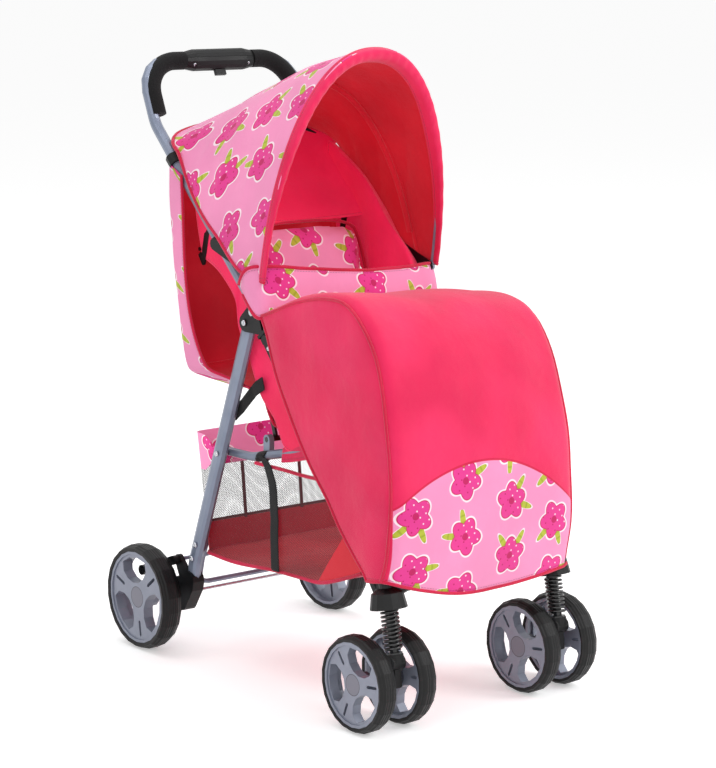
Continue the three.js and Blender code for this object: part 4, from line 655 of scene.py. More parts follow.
def cloth_piece(
    name, columns, rows, place_of, materials, inside, thickness=1.4
):
    """A grid of cloth laid where place_of(u, v) says, whose last material lines the side towards inside.

    Its flat pattern is measured along its rows, from the middle out, and down its columns.
    """
    grid = [[place_of(i / columns, j / rows) for j in range(rows + 1)] for i in range(columns + 1)]
    across = [[0.0] * (rows + 1) for _ in grid]
    along = [[0.0] * (rows + 1) for _ in grid]
    for i in range(columns + 1):
        for j in range(rows + 1):
            across[i][j] = across[i - 1][j] + (grid[i][j] - grid[i - 1][j]).length if i else 0.0
            along[i][j] = along[i][j - 1] + (grid[i][j] - grid[i][j - 1]).length if j else 0.0
    width = max(across[columns])
    length = max(line[rows] for line in along)
    mesh = bmesh.new()
    flat = mesh.loops.layers.uv.new("cloth")
    edge = mesh.loops.layers.uv.new("edge")
    bmesh.ops.create_grid(mesh, x_segments=columns, y_segments=rows, size=0.5)
    for vertex in mesh.verts:
        vertex.co = (round((vertex.co.x + 0.5) * columns), round((vertex.co.y + 0.5) * rows), 0)
    for face in mesh.faces:
        for loop in face.loops:
            i, j = int(loop.vert.co.x), int(loop.vert.co.y)
            loop[flat].uv = (across[i][j] - across[columns][j] / 2 + 1, along[i][j] + 1)
            side_gap = min(across[i][j], across[columns][j] - across[i][j])
            loop[edge].uv = (side_gap, min(along[i][j], along[i][rows] - along[i][j]))
    for vertex in mesh.verts:
        vertex.co = grid[int(vertex.co.x)][int(vertex.co.y)]
    mesh.normal_update()
    if sum(face.normal.dot(face.calc_center_median() - inside) * face.calc_area() for face in mesh.faces) < 0:
        bmesh.ops.reverse_faces(mesh, faces=mesh.faces)
    area = sum(face.calc_area() for face in mesh.faces)
    piece = show(name, mesh, materials)
    wall = piece.modifiers.new("thickness", "SOLIDIFY")
    wall.thickness = thickness * mm
    wall.offset = -1
    wall.material_offset = len(materials) - 1
    soften(piece)
    stretch = math.sqrt(max(1.0, area / (width * length))) * 1.001
    return piece


hinge = (16.3, 404.2)
hinge_place = at(0, *hinge)
cover_left_crease = line_through([
    (-23, 413), (-45, 421), (-80, 434), (-128, 441.5), (-166, 438), (-197, 411),
    (-217, 364), (-229, 305), (-232.5, 245), (-231, 190), (-223, 158),
])
cover_right_crease = line_through([
    (-26, 410), (-50, 414), (-88, 419), (-137, 421.5), (-174, 407), (-201, 372),
    (-218, 330), (-230, 280), (-235, 230), (-235.4, 180), (-229.5, 141),
])
cover_rear_edge = line_through([
    (-14, 403), (-24, 385), (-38, 350), (-52, 322), (-69, 294), (-92, 263),
    (-120, 232), (-150, 197), (-170, 176), (-184, 163), (-190, 154),
])
cover_half_width = 123
cover_corner = 9
cover_bulge = 4
cover_crown = 9
cover_hem_sag = 14
cover_side_share = 0.25
cover_edge_inset = 0.002


def cover_place(u, v):
    """Across from the left rear edge over the front to the right one, and down from the lap to the hem."""
    hand = -1 if u < 0.5 else 1
    edge = cover_rear_edge(v)
    step = min(u, 1 - u)
    crease = cover_left_crease(v) if hand < 0 else cover_right_crease(v)
    back = (edge - crease).normalized()
    if step < cover_side_share:
        share = step / cover_side_share
        near = crease + back * cover_corner
        y, z = blend_of(edge, near, share)
        puff = math.sin(math.pi * share) * min(1.0, (edge - near).length / 60)
        return rumpled(at(hand * (cover_half_width + cover_bulge * puff), y, z), 0.05, 0.0022)
    front = (step - cover_side_share) / (0.5 - cover_side_share)
    x_share = 1 - front
    middle = (cover_left_crease(v) + cover_right_crease(v)) / 2
    here = blend_of(crease, middle, 1 - x_share**1.5)
    corner = max(0.0, 1 - front / 0.09)
    rounding = cover_corner * (1 - math.sqrt(max(0.0, 1 - corner**2)))
    slope = cover_left_crease(v + 0.02) - cover_left_crease(v - 0.02)
    outward = Vector((slope.y, -slope.x)).normalized()
    if outward.dot(back) > 0:
        outward = -outward
    crown = cover_crown * (1 - x_share**2) * ease((v - 0.36) * 4)
    y, z = here + outward * crown + back * rounding
    z -= cover_hem_sag * v**10 * (1 - x_share**2)
    x = hand * cover_half_width * x_share
    return rumpled(at(x, y, z), 0.06, 0.0025)


cover_cloth, shade = own_material("foot_cover_cloth")
across, along = cloth_places(shade)
cover_x = own_place(shade).axis("X")
cover_z = own_place(shade).axis("Z")
patch_top = 0.272
patch_drop = 3.45
patch_tilt = 0.09
patch_half_width = 0.1195
patch_edge = cover_z - (patch_top - cover_x * cover_x * patch_drop - cover_x * patch_tilt)
patch_side = cover_x.apply("ABSOLUTE").between(patch_half_width, patch_half_width + 0.0005)
patch_cord = patch_edge.apply("ABSOLUTE").between(0.0008, 0.0016)
tone = two_tones(shade, paint(240, 42, 98), paint(228, 28, 84))
patch = patch_edge.between(-0.0004, 0.0004).apply("MAXIMUM", patch_side)
patched = patch.tint(blossom_print(cover_x + 0.5, cover_z + 0.5), tone)
patched = patch_cord.apply("MAXIMUM", patch_side).tint(paint(214, 20, 70), patched)
finish_cloth(cover_cloth, shade, patched, across, along)
cover_inside = at(0, -120, 300)
cover = cloth_piece(
    "foot_cover_cloth", 72, 54, cover_place, [cover_cloth, lining_cloth], cover_inside, 2.0,
)
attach(cover, "front_frame")
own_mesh(cover)
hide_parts("foot_cover")

cover_piping = piping(
    "foot_cover_piping",
    [
        run_of(lambda share: cover_place(cover_side_share, share)),
        run_of(lambda share: cover_place(1 - cover_side_share, share)),
        run_of(lambda share: cover_place(cover_edge_inset, share)),
        run_of(lambda share: cover_place(1 - cover_edge_inset, share)),
        run_of(lambda share: cover_place(share, 1.0), 70),
    ],
    1.7,
)
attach(cover_piping, "front_frame")
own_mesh(cover_piping)

# Lap band: the printed strip across the top of the foot cover, piped along both edges. It stands up
# from the lap, and its ends come back round the hood clips.
band_top = line_through([
    (-124, 24, 434), (-125, 8, 452), (-110, -9, 455), (-50, -15, 449), (0, -15, 443),
    (50, -14, 440), (110, -10, 442), (125, 8, 436), (124, 22, 424),
])
band_bottom = line_through([
    (-124, 16, 423), (-125, -10, 402), (-110, -21, 406), (-50, -25, 412), (0, -26, 411),
    (50, -26.5, 408), (110, -20, 404), (125, -4, 405), (124, 16, 415),
])
band_puff = 2.5


def band_place(u, v):
    x, y, z = blend_of(band_top(u), band_bottom(u), v)
    puff = band_puff * math.sin(math.pi * v) * math.sin(math.pi * u)
    return rumpled(at(x, y - puff, z), 0.04, 0.0014)


band = cloth_piece(
    "lap_band", 64, 8, band_place, [print_cloth, lining_cloth], at(0, 120, 420), 2.0
)
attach(band, "front_frame")
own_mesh(band)
band_piping = piping(
    "lap_band_piping",
    [run_of(lambda share: band_place(share, 0.0), 60), run_of(lambda share: band_place(share, 1.0), 60)],
    1.9,
)
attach(band_piping, "front_frame")
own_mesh(band_piping)


# Hood: printed cloth with a dark red lining over two hinged bows and a fixed one at the back. It dips
# between the bows, and soft folds run down its sides from the middle bow.
def arch(share, half_width, rise, foot, lean, squareness):
    """A place on an arch from its left foot (0) over the top (0.5) to its right foot (1)."""
    angle = math.pi * share
    reach = math.copysign(abs(math.cos(angle)) ** squareness, math.cos(angle))
    height = rise * math.sin(angle) ** squareness if 0 < share < 1 else 0
    direction = Vector((math.cos(math.radians(lean)), math.sin(math.radians(lean))))
    y, z = Vector(foot) + direction * height
    return -half_width * reach, y, z


front_arch_foot = (-14.1, 440)
front_arch_lean = 99.7
hood_half_width = 119.8
hood_rear_half_width = 113.5
hood_foot_line = line_through([(-14.1, 440), (29.8, 448.3), (75, 481.6), (121.2, 521.1), (152, 566.5)])
hood_top_line = line_through([(-55.4, 681.3), (18, 669.5), (97, 637.5), (149, 618.5), (200.5, 592)])
hood_dip = 3.2
hood_fold_depth = 2.6
hood_folds = 5
hood_squareness = 0.9
hood_inside = at(0, 20, 520)
hood_bend_start = at(0, *front_arch_foot)
hood_bend_end = at(0, 188, 474.5)


def hood_place(u, v):
    """Over an arch from left to right, and from the front bow back to the rear one."""
    foot = hood_foot_line(v)
    top = hood_top_line(v)
    lean = math.degrees(math.atan2(top.y - foot.y, top.x - foot.x))
    half_width = blend_of(hood_half_width, hood_rear_half_width, ease(v * 1.2 - 0.2))
    dip = hood_dip * math.sin(2 * math.pi * v) ** 2 * math.sin(math.pi * u)
    x, y, z = arch(u, half_width, (top - foot).length - dip, foot, lean, hood_squareness)
    side_share = abs(x) / half_width
    fold = math.sin(math.pi * hood_folds * (v + 0.6 * min(u, 1 - u)) + 1) * hood_fold_depth
    fold *= math.sin(math.pi * min(1, v * 1.05)) * math.sin(math.pi * min(1, 3 * min(u, 1 - u)))
    return rumpled(at(x - math.copysign(fold * side_share, x), y, z), 0.045, 0.0016, 3)


hood = cloth_piece(
    "hood_cloth", 96, 64, hood_place, [print_cloth, lining_cloth], hood_inside
)
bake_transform(hood)
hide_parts("hood_fabric")

# Front band of the hood: a padded tunnel of plain cloth, turned round the front bow. It is widest at
# the top of the arch and tapers to less than half of that at its feet.
tunnel_outer_half_width = 121.6
tunnel_outer_rise = 246.6
tunnel_outer_squareness = 0.91
tunnel_inner_half_width = 107.8
tunnel_inner_rise = 228.9
tunnel_inner_foot = (-10.7, 440)
tunnel_inner_lean = 99.6
tunnel_foot_width = 0.42
tunnel_taper = 0.24
tunnel_edge = 0.18
tunnel_swell = 5.5
tunnel_back = 7
tunnel_pucker = 0.5


def tunnel_place(u, v):
    """Round the arch from left to right, and from its outer edge to its inner one."""
    narrow = blend_of(tunnel_foot_width, 1, ease(min(u, 1 - u) / tunnel_taper))
    outer = Vector(arch(
        u, tunnel_outer_half_width, tunnel_outer_rise, front_arch_foot, front_arch_lean,
        tunnel_outer_squareness,
    ))
    inner = Vector(arch(
        u, tunnel_inner_half_width, tunnel_inner_rise, tunnel_inner_foot, tunnel_inner_lean, hood_squareness
    ))
    inner = outer.lerp(inner, narrow)
    x, y, z = outer.lerp(inner, v)
    y -= tunnel_swell * narrow * math.sin(math.pi * v) ** 0.7
    y += tunnel_back * (max(0, tunnel_edge - v) + max(0, v - 1 + tunnel_edge)) / tunnel_edge
    pucker = tunnel_pucker * math.sin(u * 210) * math.sin(math.pi * v)
    return at(x, y + pucker, z)


hood_band = cloth_piece(
    "hood_front_band", 180, 12, tunnel_place, [pink_cloth], at(0, 40, 560)
)
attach(hood_band, "hood_front_bow")
hood_piping = piping(
    "hood_piping",
    [
        run_of(lambda share: hood_place(0.0, share)),
        run_of(lambda share: hood_place(1.0, share)),
        run_of(lambda share: hood_place(share, 1.0), 70),
    ],
    1.9,
)
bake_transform(hood_piping)

# Back curtain: a deep apron that hangs from the back of the hood. It is printed outside and dark red
# inside, has a wing on each side of the handle, and turns forward under the seat at the bottom.
curtain_rear_line = line_through([
    (178, 556), (179, 510), (174.5, 455), (166, 400), (156.5, 352),
    (148, 327), (128, 318), (92, 314), (52, 314),
])
curtain_front_line = line_through([
    (145.5, 541), (143.5, 513), (142.5, 458), (136, 404), (121, 362),
    (103, 336), (84, 326), (64, 320), (42, 317),
])
curtain_half_width = 112.4
curtain_foot_half_width = 97.2
curtain_corner = 9
curtain_corner_share = 0.1
curtain_crown = 5
curtain_fold = 1.6
curtain_turn = 0.62
curtain_taper = 0.22
curtain_join = 0.12
wing_share = 0.15


def curtain_place(u, v):
    """Across from the left wing's front edge to the right one's, and down from the hood to the foot."""
    rear = curtain_rear_line(v)
    front = curtain_front_line(v)
    narrow = ease((v - curtain_turn) / curtain_taper)
    half_width = blend_of(curtain_half_width, curtain_foot_half_width, narrow)
    step = min(u, 1 - u)
    hand = -1 if u < 0.5 else 1
    wing = front - rear
    reach = wing.normalized() * min(curtain_corner, wing.length)
    if step < wing_share:
        share = step / wing_share
        y, z = front.lerp(rear + reach, share)
        return rumpled(at(hand * half_width, y, z), 0.05, 0.0014, 6)
    share = (step - wing_share) / (0.5 - wing_share)
    corner = max(0, 1 - share / curtain_corner_share)
    rounding = 1 - math.sqrt(1 - corner**2)
    if corner:
        x = blend_of(half_width * (1 - curtain_corner_share), half_width, rounding)
    else:
        x = (half_width - curtain_corner * 0.4) * (1 - share)
    y, z = rear + reach * rounding
    slack = curtain_crown * (1 - (x / half_width) ** 2) * math.sin(math.pi * min(1, v / curtain_turn))
    fold = curtain_fold * math.sin(x / 14) * ease(v * 3) * (1 - ease((v - 0.5) * 4))
    place = rumpled(at(hand * x, y + slack + fold, z), 0.05, 0.0014, 6)
    hood_edge = hood_place((u - wing_share) / (1 - 2 * wing_share), 1.0)
    return place.lerp(hood_edge, (1 - ease(v / curtain_join)) * ease(share / (2 * curtain_corner_share)))


curtain = cloth_piece(
    "back_curtain_cloth", 88, 72, curtain_place, [print_cloth, lining_cloth], at(0, 60, 440),
)
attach(curtain, "handle_frame")
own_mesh(curtain)
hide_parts("back_curtain")
curtain_piping = piping(
    "back_curtain_piping",
    [
        run_of(lambda share: curtain_place(0.0, share), 60),
        run_of(lambda share: curtain_place(1.0, share), 60),
        run_of(lambda share: curtain_place(share, 1.0), 60),
    ],
    1.7,
)
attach(curtain_piping, "handle_frame")
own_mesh(curtain_piping)

# Seat: plain pink cloth that goes over the two rails, with a hem outside each, and hangs between them.
# Its front edge is cut back in the middle.
seat_rail_line = line_through([(-101, 277), (-95, 279), (-60, 271), (-20, 262), (10, 256), (26, 254)])
seat_half_width = 96
seat_wrap = 0.09
seat_sag = 9
seat_hem = 17
seat_hem_flare = 1.6
seat_side_length = 0.64


def seat_place(u, v):
    step = min(u, 1 - u)
    hand = -1 if u < 0.5 else 1
    y, z = seat_rail_line(v * blend_of(seat_side_length, 1, ease((step - seat_wrap) * 5)))
    if step < seat_wrap:
        drop = 1 - step / seat_wrap
        x = seat_half_width + seat_hem_flare * drop
        return rumpled(at(hand * x, y, z - seat_hem * drop), 0.04, 0.0012, 9)
    share = (step - seat_wrap) / (0.5 - seat_wrap)
    slack = seat_sag * ease((share - 0.12) * 2.2) * ease((v - 0.1) * 2.5)
    return rumpled(at(hand * seat_half_width * (1 - share), y, z - slack), 0.04, 0.0012, 9)


seat = cloth_piece(
    "seat_cloth", 64, 40, seat_place, [pink_cloth, lining_cloth], at(0, -30, 180)
)
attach(seat, "seat_frame")
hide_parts("seat_sling")

# Side panels: plain pink cloth between the seat rail and the tubes, one on each side. They pass inside
# the fold hinge and bulge backwards beside the backrest, and a gusset closes the gap to the hood.
panel_low_line = line_through([
    (-100, 268), (-60, 262), (-20, 258), (2, 288), (24, 309), (36, 328),
    (50, 355), (65, 380), (72, 410), (100, 436), (133, 450),
])
panel_high_line = line_through([
    (-94, 284), (-62, 322), (-34, 364), (-18, 404), (0, 434), (12, 456),
    (44, 485), (64, 508), (84, 527), (110, 544), (154, 568),
])
panel_half_width = 95.5
panel_bulge = 5
panel_tuck = 1.8
gusset_share = 0.22
gusset_reach = 20
gusset_drop = 20
gusset_back = 3
gusset_start = 0.4
gusset_narrowing = 0.6


def panel_place(hand):
    """Up from the seat to the hood, and back from the seat's front edge to the hood's rear bow."""
    def place(u, v):
        height = min(1, u / (1 - gusset_share))
        y, z = panel_low_line(v).lerp(panel_high_line(v), height)
        flare = max(0, (u - 1) / gusset_share + 1) * ease((v - gusset_start) / 0.1)
        tuck = panel_tuck * math.sin(v * 17 + height * 3) * math.sin(math.pi * height)
        inward = panel_bulge * math.sin(math.pi * height) * math.sin(math.pi * v)
        narrow = ease((v - gusset_narrowing) / (1 - gusset_narrowing))
        x = panel_half_width - inward - tuck + gusset_reach * flare * (1 - 0.45 * narrow)
        drop = gusset_drop * flare * (1 - 0.9 * narrow)
        return rumpled(at(hand * x, y + gusset_back * flare, z - drop), 0.045, 0.0012, 12 + hand)

    return place


for hand, side_name in sides:
    panel = cloth_piece(
        "side_panel_" + side_name, 28, 72, panel_place(hand), [pink_cloth_painted_glow], at(0, 20, 400),
    )
    at(0, -6, 390)
    at(0, 40, 436)
    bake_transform(panel)

# Back cloth: plain pink cloth stretched over the handle tubes behind the doll's head, and sewn to the
# hood's rear edge.
back_low_line = line_through([(82, 486), (90, 492), (120, 522), (150, 552), (170, 568)])
back_half_width = 98
back_crown = 5
back_rise = 6


def back_place(u, v):
    across = 2 * u - 1
    y, z = back_low_line(v)
    crown = back_crown * (1 - across**4)
    place = rumpled(at(back_half_width * across, y + crown, z + back_rise - crown), 0.04, 0.0018, 15)
    return place.lerp(hood_place(u, 1.0), ease((v - 0.5) / 0.5))


back = cloth_piece(
    "back_cloth", 56, 30, back_place, [pink_cloth_painted_glow, lining_cloth], at(0, 160, 440),
)
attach(back, "handle_frame")
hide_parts("back_fabric")

# Backrest pad: two printed cloths sewn round wadding. It is blown up as a cushion is filled, by a few
# millimetres at most, and leans on the black wire frame.
pad_half_width = 89
pad_length = 230
pad_thickness = 15
pad_edge_thickness = 5
pad_foot = Vector((18.5, 267.2))
pad_lean = math.radians(17.7)
pad_heading = Vector((math.sin(pad_lean), math.cos(pad_lean)))
pad_drawn_in = 4
pad_cells = 22
pad_swell = 7
pad_grain = 4.5
pad_seam_steps = 24
wadding_pressure = 4
stuffing_frames = 20


def pad_spot(across, up, face):
    """A place on the pad from shares of -1 to 1 of its width, its length and its thickness."""
    rounding = 0.1 * (across * up) ** 4
    x = (pad_half_width - pad_drawn_in * (1 - up**2)) * across * (1 - rounding)
    along = pad_length * (0.5 + 0.5 * up * (1 - rounding))
    crown = math.sqrt((1 - across**6) * (1 - up**6))
    depth = face * (pad_edge_thickness + (pad_thickness - pad_edge_thickness) * crown) / 2
    y, z = pad_foot + pad_heading * along + Vector((-pad_heading.y, pad_heading.x)) * depth
    return at(x, y, z)


pad_cloth, shade = own_material("backrest_pad_print")
pad_print_shift = 1.018
pad_across = own_place(shade).axis("X") + pad_print_shift
pad_along = own_place(shade).axis("Z") + 1
finish_cloth(pad_cloth, shade, blossom_print(pad_across, pad_along), pad_across, pad_along)
mesh = bmesh.new()
bmesh.ops.create_cube(mesh, size=2)
bmesh.ops.subdivide_edges(mesh, edges=mesh.edges[:], cuts=pad_cells - 1, use_grid_fill=True)
for vertex in mesh.verts:
    vertex.co = pad_spot(vertex.co.x, vertex.co.z, -vertex.co.y if vertex.co.y else 0)
bmesh.ops.recalc_face_normals(mesh, faces=mesh.faces)
pad = show("backrest_cushion", mesh, [pad_cloth])
even = pad.modifiers.new("even", "REMESH")
even.mode = "VOXEL"
even.voxel_size = pad_grain * mm
even.use_smooth_shade = True
evened = bpy.data.meshes.new_from_object(pad.evaluated_get(bpy.context.evaluated_depsgraph_get()))
pad.modifiers.remove(even)
pad.data = evened
before = [vertex.co.copy() for vertex in evened.vertices]
stuffing = pad.modifiers.new("stuffing", "CLOTH")
stuffing.settings.use_pressure = True
stuffing.settings.uniform_pressure_force = wadding_pressure
stuffing.settings.effector_weights.gravity = 0
stuffing.settings.quality = 5
stuffing.point_cache.frame_start = 1
stuffing.point_cache.frame_end = stuffing_frames
for step in range(1, stuffing_frames + 1):
    bpy.context.scene.frame_set(step)
blown = bpy.data.meshes.new_from_object(pad.evaluated_get(bpy.context.evaluated_depsgraph_get()))
pad.modifiers.remove(stuffing)
bpy.context.scene.frame_set(1)
for vertex, start, end in zip(evened.vertices, before, blown.vertices):
    move = end.co - start
    held = min(1, move.length and pad_swell * mm / move.length)
    vertex.co = start + move * held
for polygon in pad.data.polygons:
    polygon.use_smooth = True
soften(pad)
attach(pad, "backrest")
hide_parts("backrest_pad")
pad_seam = []
for corner in range(4):
    for step in range(pad_seam_steps):
        across, up = 2 * step / pad_seam_steps - 1, -1
        for _ in range(corner):
            across, up = -up, across
        pad_seam.append(pad_spot(across, up, 0))
pad_seam.append(pad_seam[0])
pad_piping = piping("backrest_cushion_piping", [pad_seam], 1.8)
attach(pad_piping, "backrest")

# Bow sleeve: the lining is sewn round the middle bow, so that no steel shows inside the hood.
mid_bow_pivot = (16, 446.5)
mid_bow_half_width = 111.4
mid_bow_rise = 203
mid_bow_lean = 75
mid_bow_squareness = 0.88
sleeve_run = [
    at(*arch(step / 60, mid_bow_half_width, mid_bow_rise, mid_bow_pivot, mid_bow_lean, mid_bow_squareness))
    for step in range(2, 59)
]
sleeve = piping("mid_bow_sleeve", [sleeve_run], 3.2, lining_cloth)
give(lining_cloth, "hood_mid_bow")
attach(sleeve, "hood_mid_bow")

# Curtain seam: the turned-up foot of the curtain is sewn on with a dark binding across its inside.
seam_height = 0.61
seam_start = 0.16
seam_forward = Vector((0, -2.4, 0)) * mm
seam_run = run_of(
    lambda share: curtain_place(blend_of(seam_start, 1 - seam_start, share), seam_height) + seam_forward, 50
)
curtain_seam = piping("back_curtain_seam", [seam_run], 1.3, lining_cloth)
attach(curtain_seam, "handle_frame")
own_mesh(curtain_seam)

# Basket: walls of black knitted mesh on a dark red floor that turns up the rear wall. Red cloth fills the
# front corners, a deep printed rim goes round the back, and red piping runs along the open edges.
basket_half_width = 98.5
basket_corner = 9
basket_foot_line = line_through([
    (-158.2, 152), (-131.7, 141.4), (-84.2, 126.5), (-47.7, 124.5), (4, 123), (66.8, 118.5), (127, 119.5),
])
basket_front = -152
basket_front_lean = 53
basket_rear = 127
basket_rear_lean = 14
basket_side_height = 237
basket_rear_rise = 17
basket_slack = 2.5
mesh_pitch = 0.0025
mesh_hole = 0.15


def basket_foot_height(y):
    """The height of the basket's bottom edge at a depth."""
    low, high = 0.0, 1.0
    for _ in range(18):
        middle = (low + high) / 2
        low, high = (middle, high) if basket_foot_line(middle).x < y else (low, middle)
    return basket_foot_line(low).y


def basket_wall_place(u, v):
    """Along the wall from its left front over the rear to its right front, and up from the bottom edge."""
    front = basket_front + basket_front_lean * v
    rear = basket_rear + basket_rear_lean * v + 6 * v**6
    hand = -1 if u < 0.5 else 1
    side_run = rear - front - basket_corner
    bend_run = basket_corner * math.pi / 2
    run = min(u, 1 - u) * 2 * (side_run + bend_run + basket_half_width - basket_corner)
    if run < side_run:
        x, y = basket_half_width, front + run
    elif run < side_run + bend_run:
        turn = (run - side_run) / basket_corner
        x = basket_half_width - basket_corner * (1 - math.cos(turn))
        y = rear - basket_corner * (1 - math.sin(turn))
    else:
        x, y = basket_half_width - basket_corner - (run - side_run - bend_run), rear
    top = basket_side_height + basket_rear_rise * ease((y - 92) / 40)
    slack = basket_slack * math.sin(math.pi * v) * math.sin(y / 31)
    z = blend_of(basket_foot_height(y), top, v)
    return rumpled(at(hand * (x - slack), y, z), 0.05, 0.001, 21)


basket_walls, shade = own_material("basket_walls")
across, along = cloth_places(shade)
wall_x = own_place(shade).axis("X")
wall_y = own_place(shade).axis("Y")
wall_z = own_place(shade).axis("Z")
rear_wall_start = 0.1145
corner_panel_slope = -1.348
corner_panel_foot = 0.0144
turn_up_height = 0.152
upright_side = 0.04
upright_width = 0.0042
turn_up_seam_height = 0.1535
rim_height = 0.214
rim_slope_start = 0.118
rim_front = 0.0925
warp_pull = math.pi / mesh_pitch
knit = ((across + along) * warp_pull).apply("SINE") * ((across - along) * warp_pull).apply("SINE")
hole = knit.apply("ABSOLUTE").between(mesh_hole - 0.06, mesh_hole + 0.06)
behind = wall_y.between(rear_wall_start, rear_wall_start + 0.0005)
corner_panel = wall_z - (wall_y * corner_panel_slope + corner_panel_foot)
corner_panel = 1 - corner_panel.between(-0.0004, 0.0004)
turned_up = (1 - (wall_z - turn_up_height).between(-0.0004, 0.0004)) * behind
upright = (wall_x.apply("ABSOLUTE") - upright_side).apply("ABSOLUTE")
upright = 1 - upright.between(upright_width / 2, upright_width / 2 + 0.0004)
upright = upright * behind * wall_z.between(0.15, 0.1505)
seam = (wall_z - turn_up_seam_height).apply("ABSOLUTE").between(0.0012, 0.0018)
seam = (1 - seam) * behind
rim_edge = rim_height + (rim_slope_start - wall_y).apply("MAXIMUM", 0.0) * 0.9
rim = (wall_z - rim_edge).between(-0.0004, 0.0004) * wall_y.between(rim_front, rim_front + 0.0005)
rim_print = blossom_print(across + 0.03, along)
colour = corner_panel.tint(paint(14, 14, 16), paint(198, 26, 44))
colour = turned_up.tint(colour, paint(176, 18, 44))
colour = upright.apply("MAXIMUM", seam).tint(colour, paint(84, 12, 26))
colour = rim.tint(colour, rim_print)
closed = corner_panel.apply("MAXIMUM", turned_up).apply("MAXIMUM", upright).apply("MAXIMUM", seam)
closed = closed.apply("MAXIMUM", rim)
finish_surface(
    basket_walls,
    base_color=colour,
    # The walls give off a painted glow of their own colour at 0.2 of full strength, so that they look
    # brighter than their lighting makes them.
    emission_color=colour,
    emission_strength=0.2,
    alpha=closed.apply("MAXIMUM", 1 - hole),
    roughness=closed * 0.25 + 0.5,
    bump=weave_of(across, along) * 0.05 + speckle(shade, 0.035, 3.0) * 2,
    bump_depth=0.0008,
    sheen_weight=0.15,
)
basket_middle = at(0, 0, 185)
basket_fold_anchor = at(0, 92, 230)
walls = cloth_piece(
    "basket_wall_cloth", 150, 26, basket_wall_place, [basket_walls], basket_middle, 0.1
)
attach(walls, "rear_frame")
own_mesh(walls)
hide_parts("basket")

basket_floor_front = -157
basket_floor_rear = 126.5
basket_floor_sag = 5
basket_floor_corner = 8


def basket_floor_place(u, v):
    """Across from left to right, and back from the front edge, with its rear corners cut off."""
    y = blend_of(basket_floor_front, basket_floor_rear, v)
    across_share = 2 * u - 1
    y -= basket_floor_corner * max(0, abs(across_share) - 0.85) / 0.15 * ease((v - 0.94) / 0.06)
    sag = basket_floor_sag * (1 - across_share**4) * math.sin(math.pi * v)
    z = basket_foot_height(y) + 0.8 - sag
    return rumpled(at(basket_half_width * across_share, y, z), 0.05, 0.0012, 24)


floor_cloth = cloth_piece(
    "basket_floor_cloth", 48, 64, basket_floor_place, [pink_cloth, lining_cloth], basket_middle
)
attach(floor_cloth, "rear_frame")
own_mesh(floor_cloth)
basket_hem = 0.19
basket_piping = piping(
    "basket_piping",
    [
        run_of(lambda share: basket_wall_place(share, 0.0), 150),
        run_of(lambda share: basket_wall_place(basket_hem * share, 1.0)),
        run_of(lambda share: basket_wall_place(1 - basket_hem * share, 1.0)),
    ],
    2.1,
)
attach(basket_piping, "rear_frame")
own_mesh(basket_piping)

# Webbing: flat black polypropylene straps. One on each side hangs the basket from the seat rail, with a
# loop round the rail, and one ties each leg to the curtain's foot.
webbing, shade = own_material("black_webbing")
across, along = cloth_places(shade)
rib_length = 0.0016
rib_width = 0.0024
ribs = (along * (2 * math.pi / rib_length)).apply("SINE")
ribs = ribs * (across * (2 * math.pi / rib_width)).apply("SINE")
webbing_wear = speckle(shade, 0.02).between(0.4, 0.7)
finish_surface(
    webbing,
    base_color=webbing_wear.tint(paint(6, 6, 7), paint(17, 16, 18)),
    roughness=webbing_wear * 0.1 + 0.6,
    specular_ior_level=0.2,
    bump=ribs,
    bump_depth=0.0002,
    sheen_weight=0.1,
)
strap_half_width = 7.5
strap_thickness = 1.1
strap_wave = 1.2
basket_strap_plane = 102.6
basket_strap_line = line_through([(14, 246), (2, 236), (-5, 215), (-7, 190), (-8, 166), (-8, 124)])
curtain_strap_plane = 98.5
curtain_strap_line = line_through([(70, 284), (60, 291), (47, 303), (32, 316), (16, 326)])
loop_radius = 6.4
loop_slope = 0.2
rail_plane = 91.5
rail_spot = (25, 244)


def strap(name, line, x, width_way):
    """A strap along a line in the side plane, at x, as wide as it is in the way given."""
    def place(u, v):
        y, z = line(v) + Vector(width_way) * (2 * u - 1) * strap_half_width
        wave = strap_wave * math.sin(v * 9) * math.sin(math.pi * v)
        return at(x + math.copysign(wave, x), y + wave, z)

    piece = cloth_piece(name, 4, 30, place, [webbing], basket_middle, strap_thickness)
    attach(piece, "rear_frame")


def loop_place(hand):
    """Across the loop's width along the rail, and once round the rail."""
    def place(u, v):
        turn = 2 * math.pi * v
        beside = (2 * u - 1) * (strap_half_width + 1)
        x = rail_plane + loop_radius * math.cos(turn)
        y = rail_spot[0] + beside - 2 * math.sin(turn)
        z = rail_spot[1] + loop_radius * math.sin(turn) - beside * loop_slope
        return at(hand * x, y, z)

    return place


for hand, side_name in sides:
    strap("basket_strap_" + side_name, basket_strap_line, hand * basket_strap_plane, (1, 0))
    strap("curtain_strap_" + side_name, curtain_strap_line, hand * curtain_strap_plane, (0.3, 0.95))
    rail_place = at(hand * rail_plane, *rail_spot)
    loop = cloth_piece(
        "rail_loop_" + side_name, 4, 20, loop_place(hand), [webbing], rail_place, strap_thickness
    )
    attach(loop, "seat_frame")

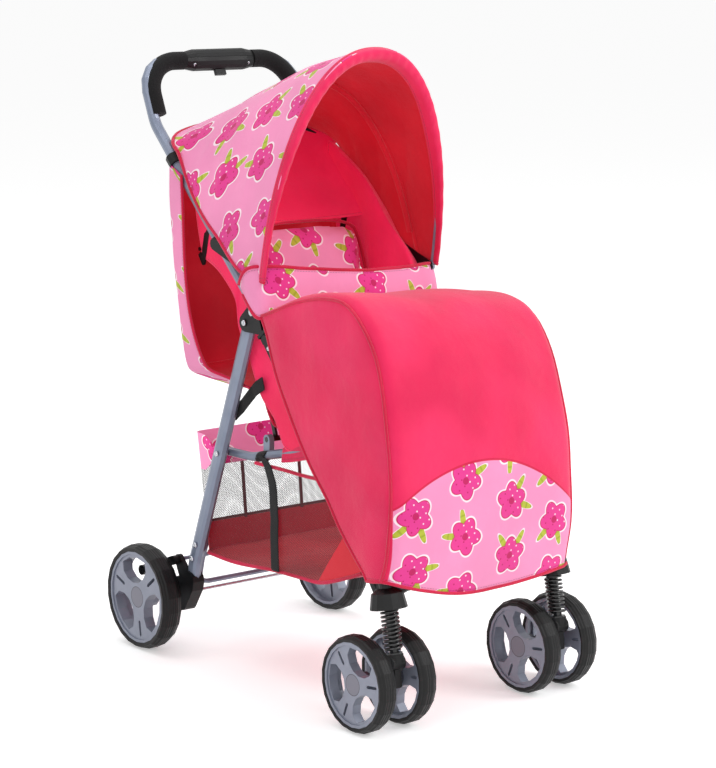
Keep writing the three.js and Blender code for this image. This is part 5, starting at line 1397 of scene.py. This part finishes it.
# Rivets and screws: bright domed heads, each with a dimple, on the hinge brackets, the latch levers and the
# legs, and two smaller ones in the grip housing.
rivet_profile = [(0, 1), (0.24, 0.94), (0.42, 0.7), (0.42, 0.4), (0.2, 0.3), (0.16, 0)]
leg_pivot = (30, 391.1)
lever_rivet = (-12.6, 368.4)
leg_rivets = [((129.3, 128.5), 3.1), ((136.2, 111.5), 3.1), ((86.1, 239.2), 3.2)]
grip_screw_side = 37
grip_screw_rise = 10.4
grip_facing = Vector((0, -0.9, -0.42))


def rivet_heads(name, heads, body):
    """Domed heads as one mesh, each with its place, its radius in millimetres and the way it faces."""
    mesh = bmesh.new()
    for place, radius, facing in heads:
        older = set(mesh.verts)
        knots = [mesh.verts.new((x * radius * mm, r * radius * mm, 0)) for x, r in rivet_profile]
        edges = [mesh.edges.new(pair) for pair in zip(knots, knots[1:])]
        bmesh.ops.spin(
            mesh, geom=knots + edges, cent=(0, 0, 0), axis=(1, 0, 0), dvec=(0, 0, 0),
            angle=2 * math.pi, steps=24, use_merge=True,
        )
        newer = [vertex for vertex in mesh.verts if vertex not in older]
        turn = Vector((1, 0, 0)).rotation_difference(Vector(facing)).to_matrix()
        bmesh.ops.rotate(mesh, verts=newer, cent=(0, 0, 0), matrix=turn)
        bmesh.ops.translate(mesh, verts=newer, vec=place)
    bmesh.ops.remove_doubles(mesh, verts=mesh.verts, dist=0.00001)
    bmesh.ops.recalc_face_normals(mesh, faces=mesh.faces)
    piece = show(name, mesh, [bright_zinc])
    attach(piece, body)


def on_face(node, hand, spot):
    """A spot of the side plane, on the outer face of a node on one side."""
    return at(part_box(node)[0 if hand < 0 else 1][0] / mm, *spot)


for hand, side_name in sides:
    facing = (hand, 0, 0)
    bracket_spot = on_face("hinge_bracket_" + side_name, hand, leg_pivot)
    rivet_heads("bracket_rivet_" + side_name, [(bracket_spot, 3.4, facing)], "front_frame")
    lever = "latch_lever_" + side_name
    rivet_heads("lever_rivet_" + side_name, [(on_face(lever, hand, lever_rivet), 2.6, facing)], lever)
    leg_heads = [(on_face("rear_brace", hand, spot), radius, facing) for spot, radius in leg_rivets]
    rivet_heads("leg_rivets_" + side_name, leg_heads, "rear_frame")
grip_heads = []
for hand in (-1, 1):
    grip_spot = at(hand * grip_screw_side, grip_depth, grip_height) + grip_facing * grip_screw_rise * mm
    grip_heads.append((grip_spot, 2.0, grip_facing))
rivet_heads("grip_screws", grip_heads, "handle_frame")
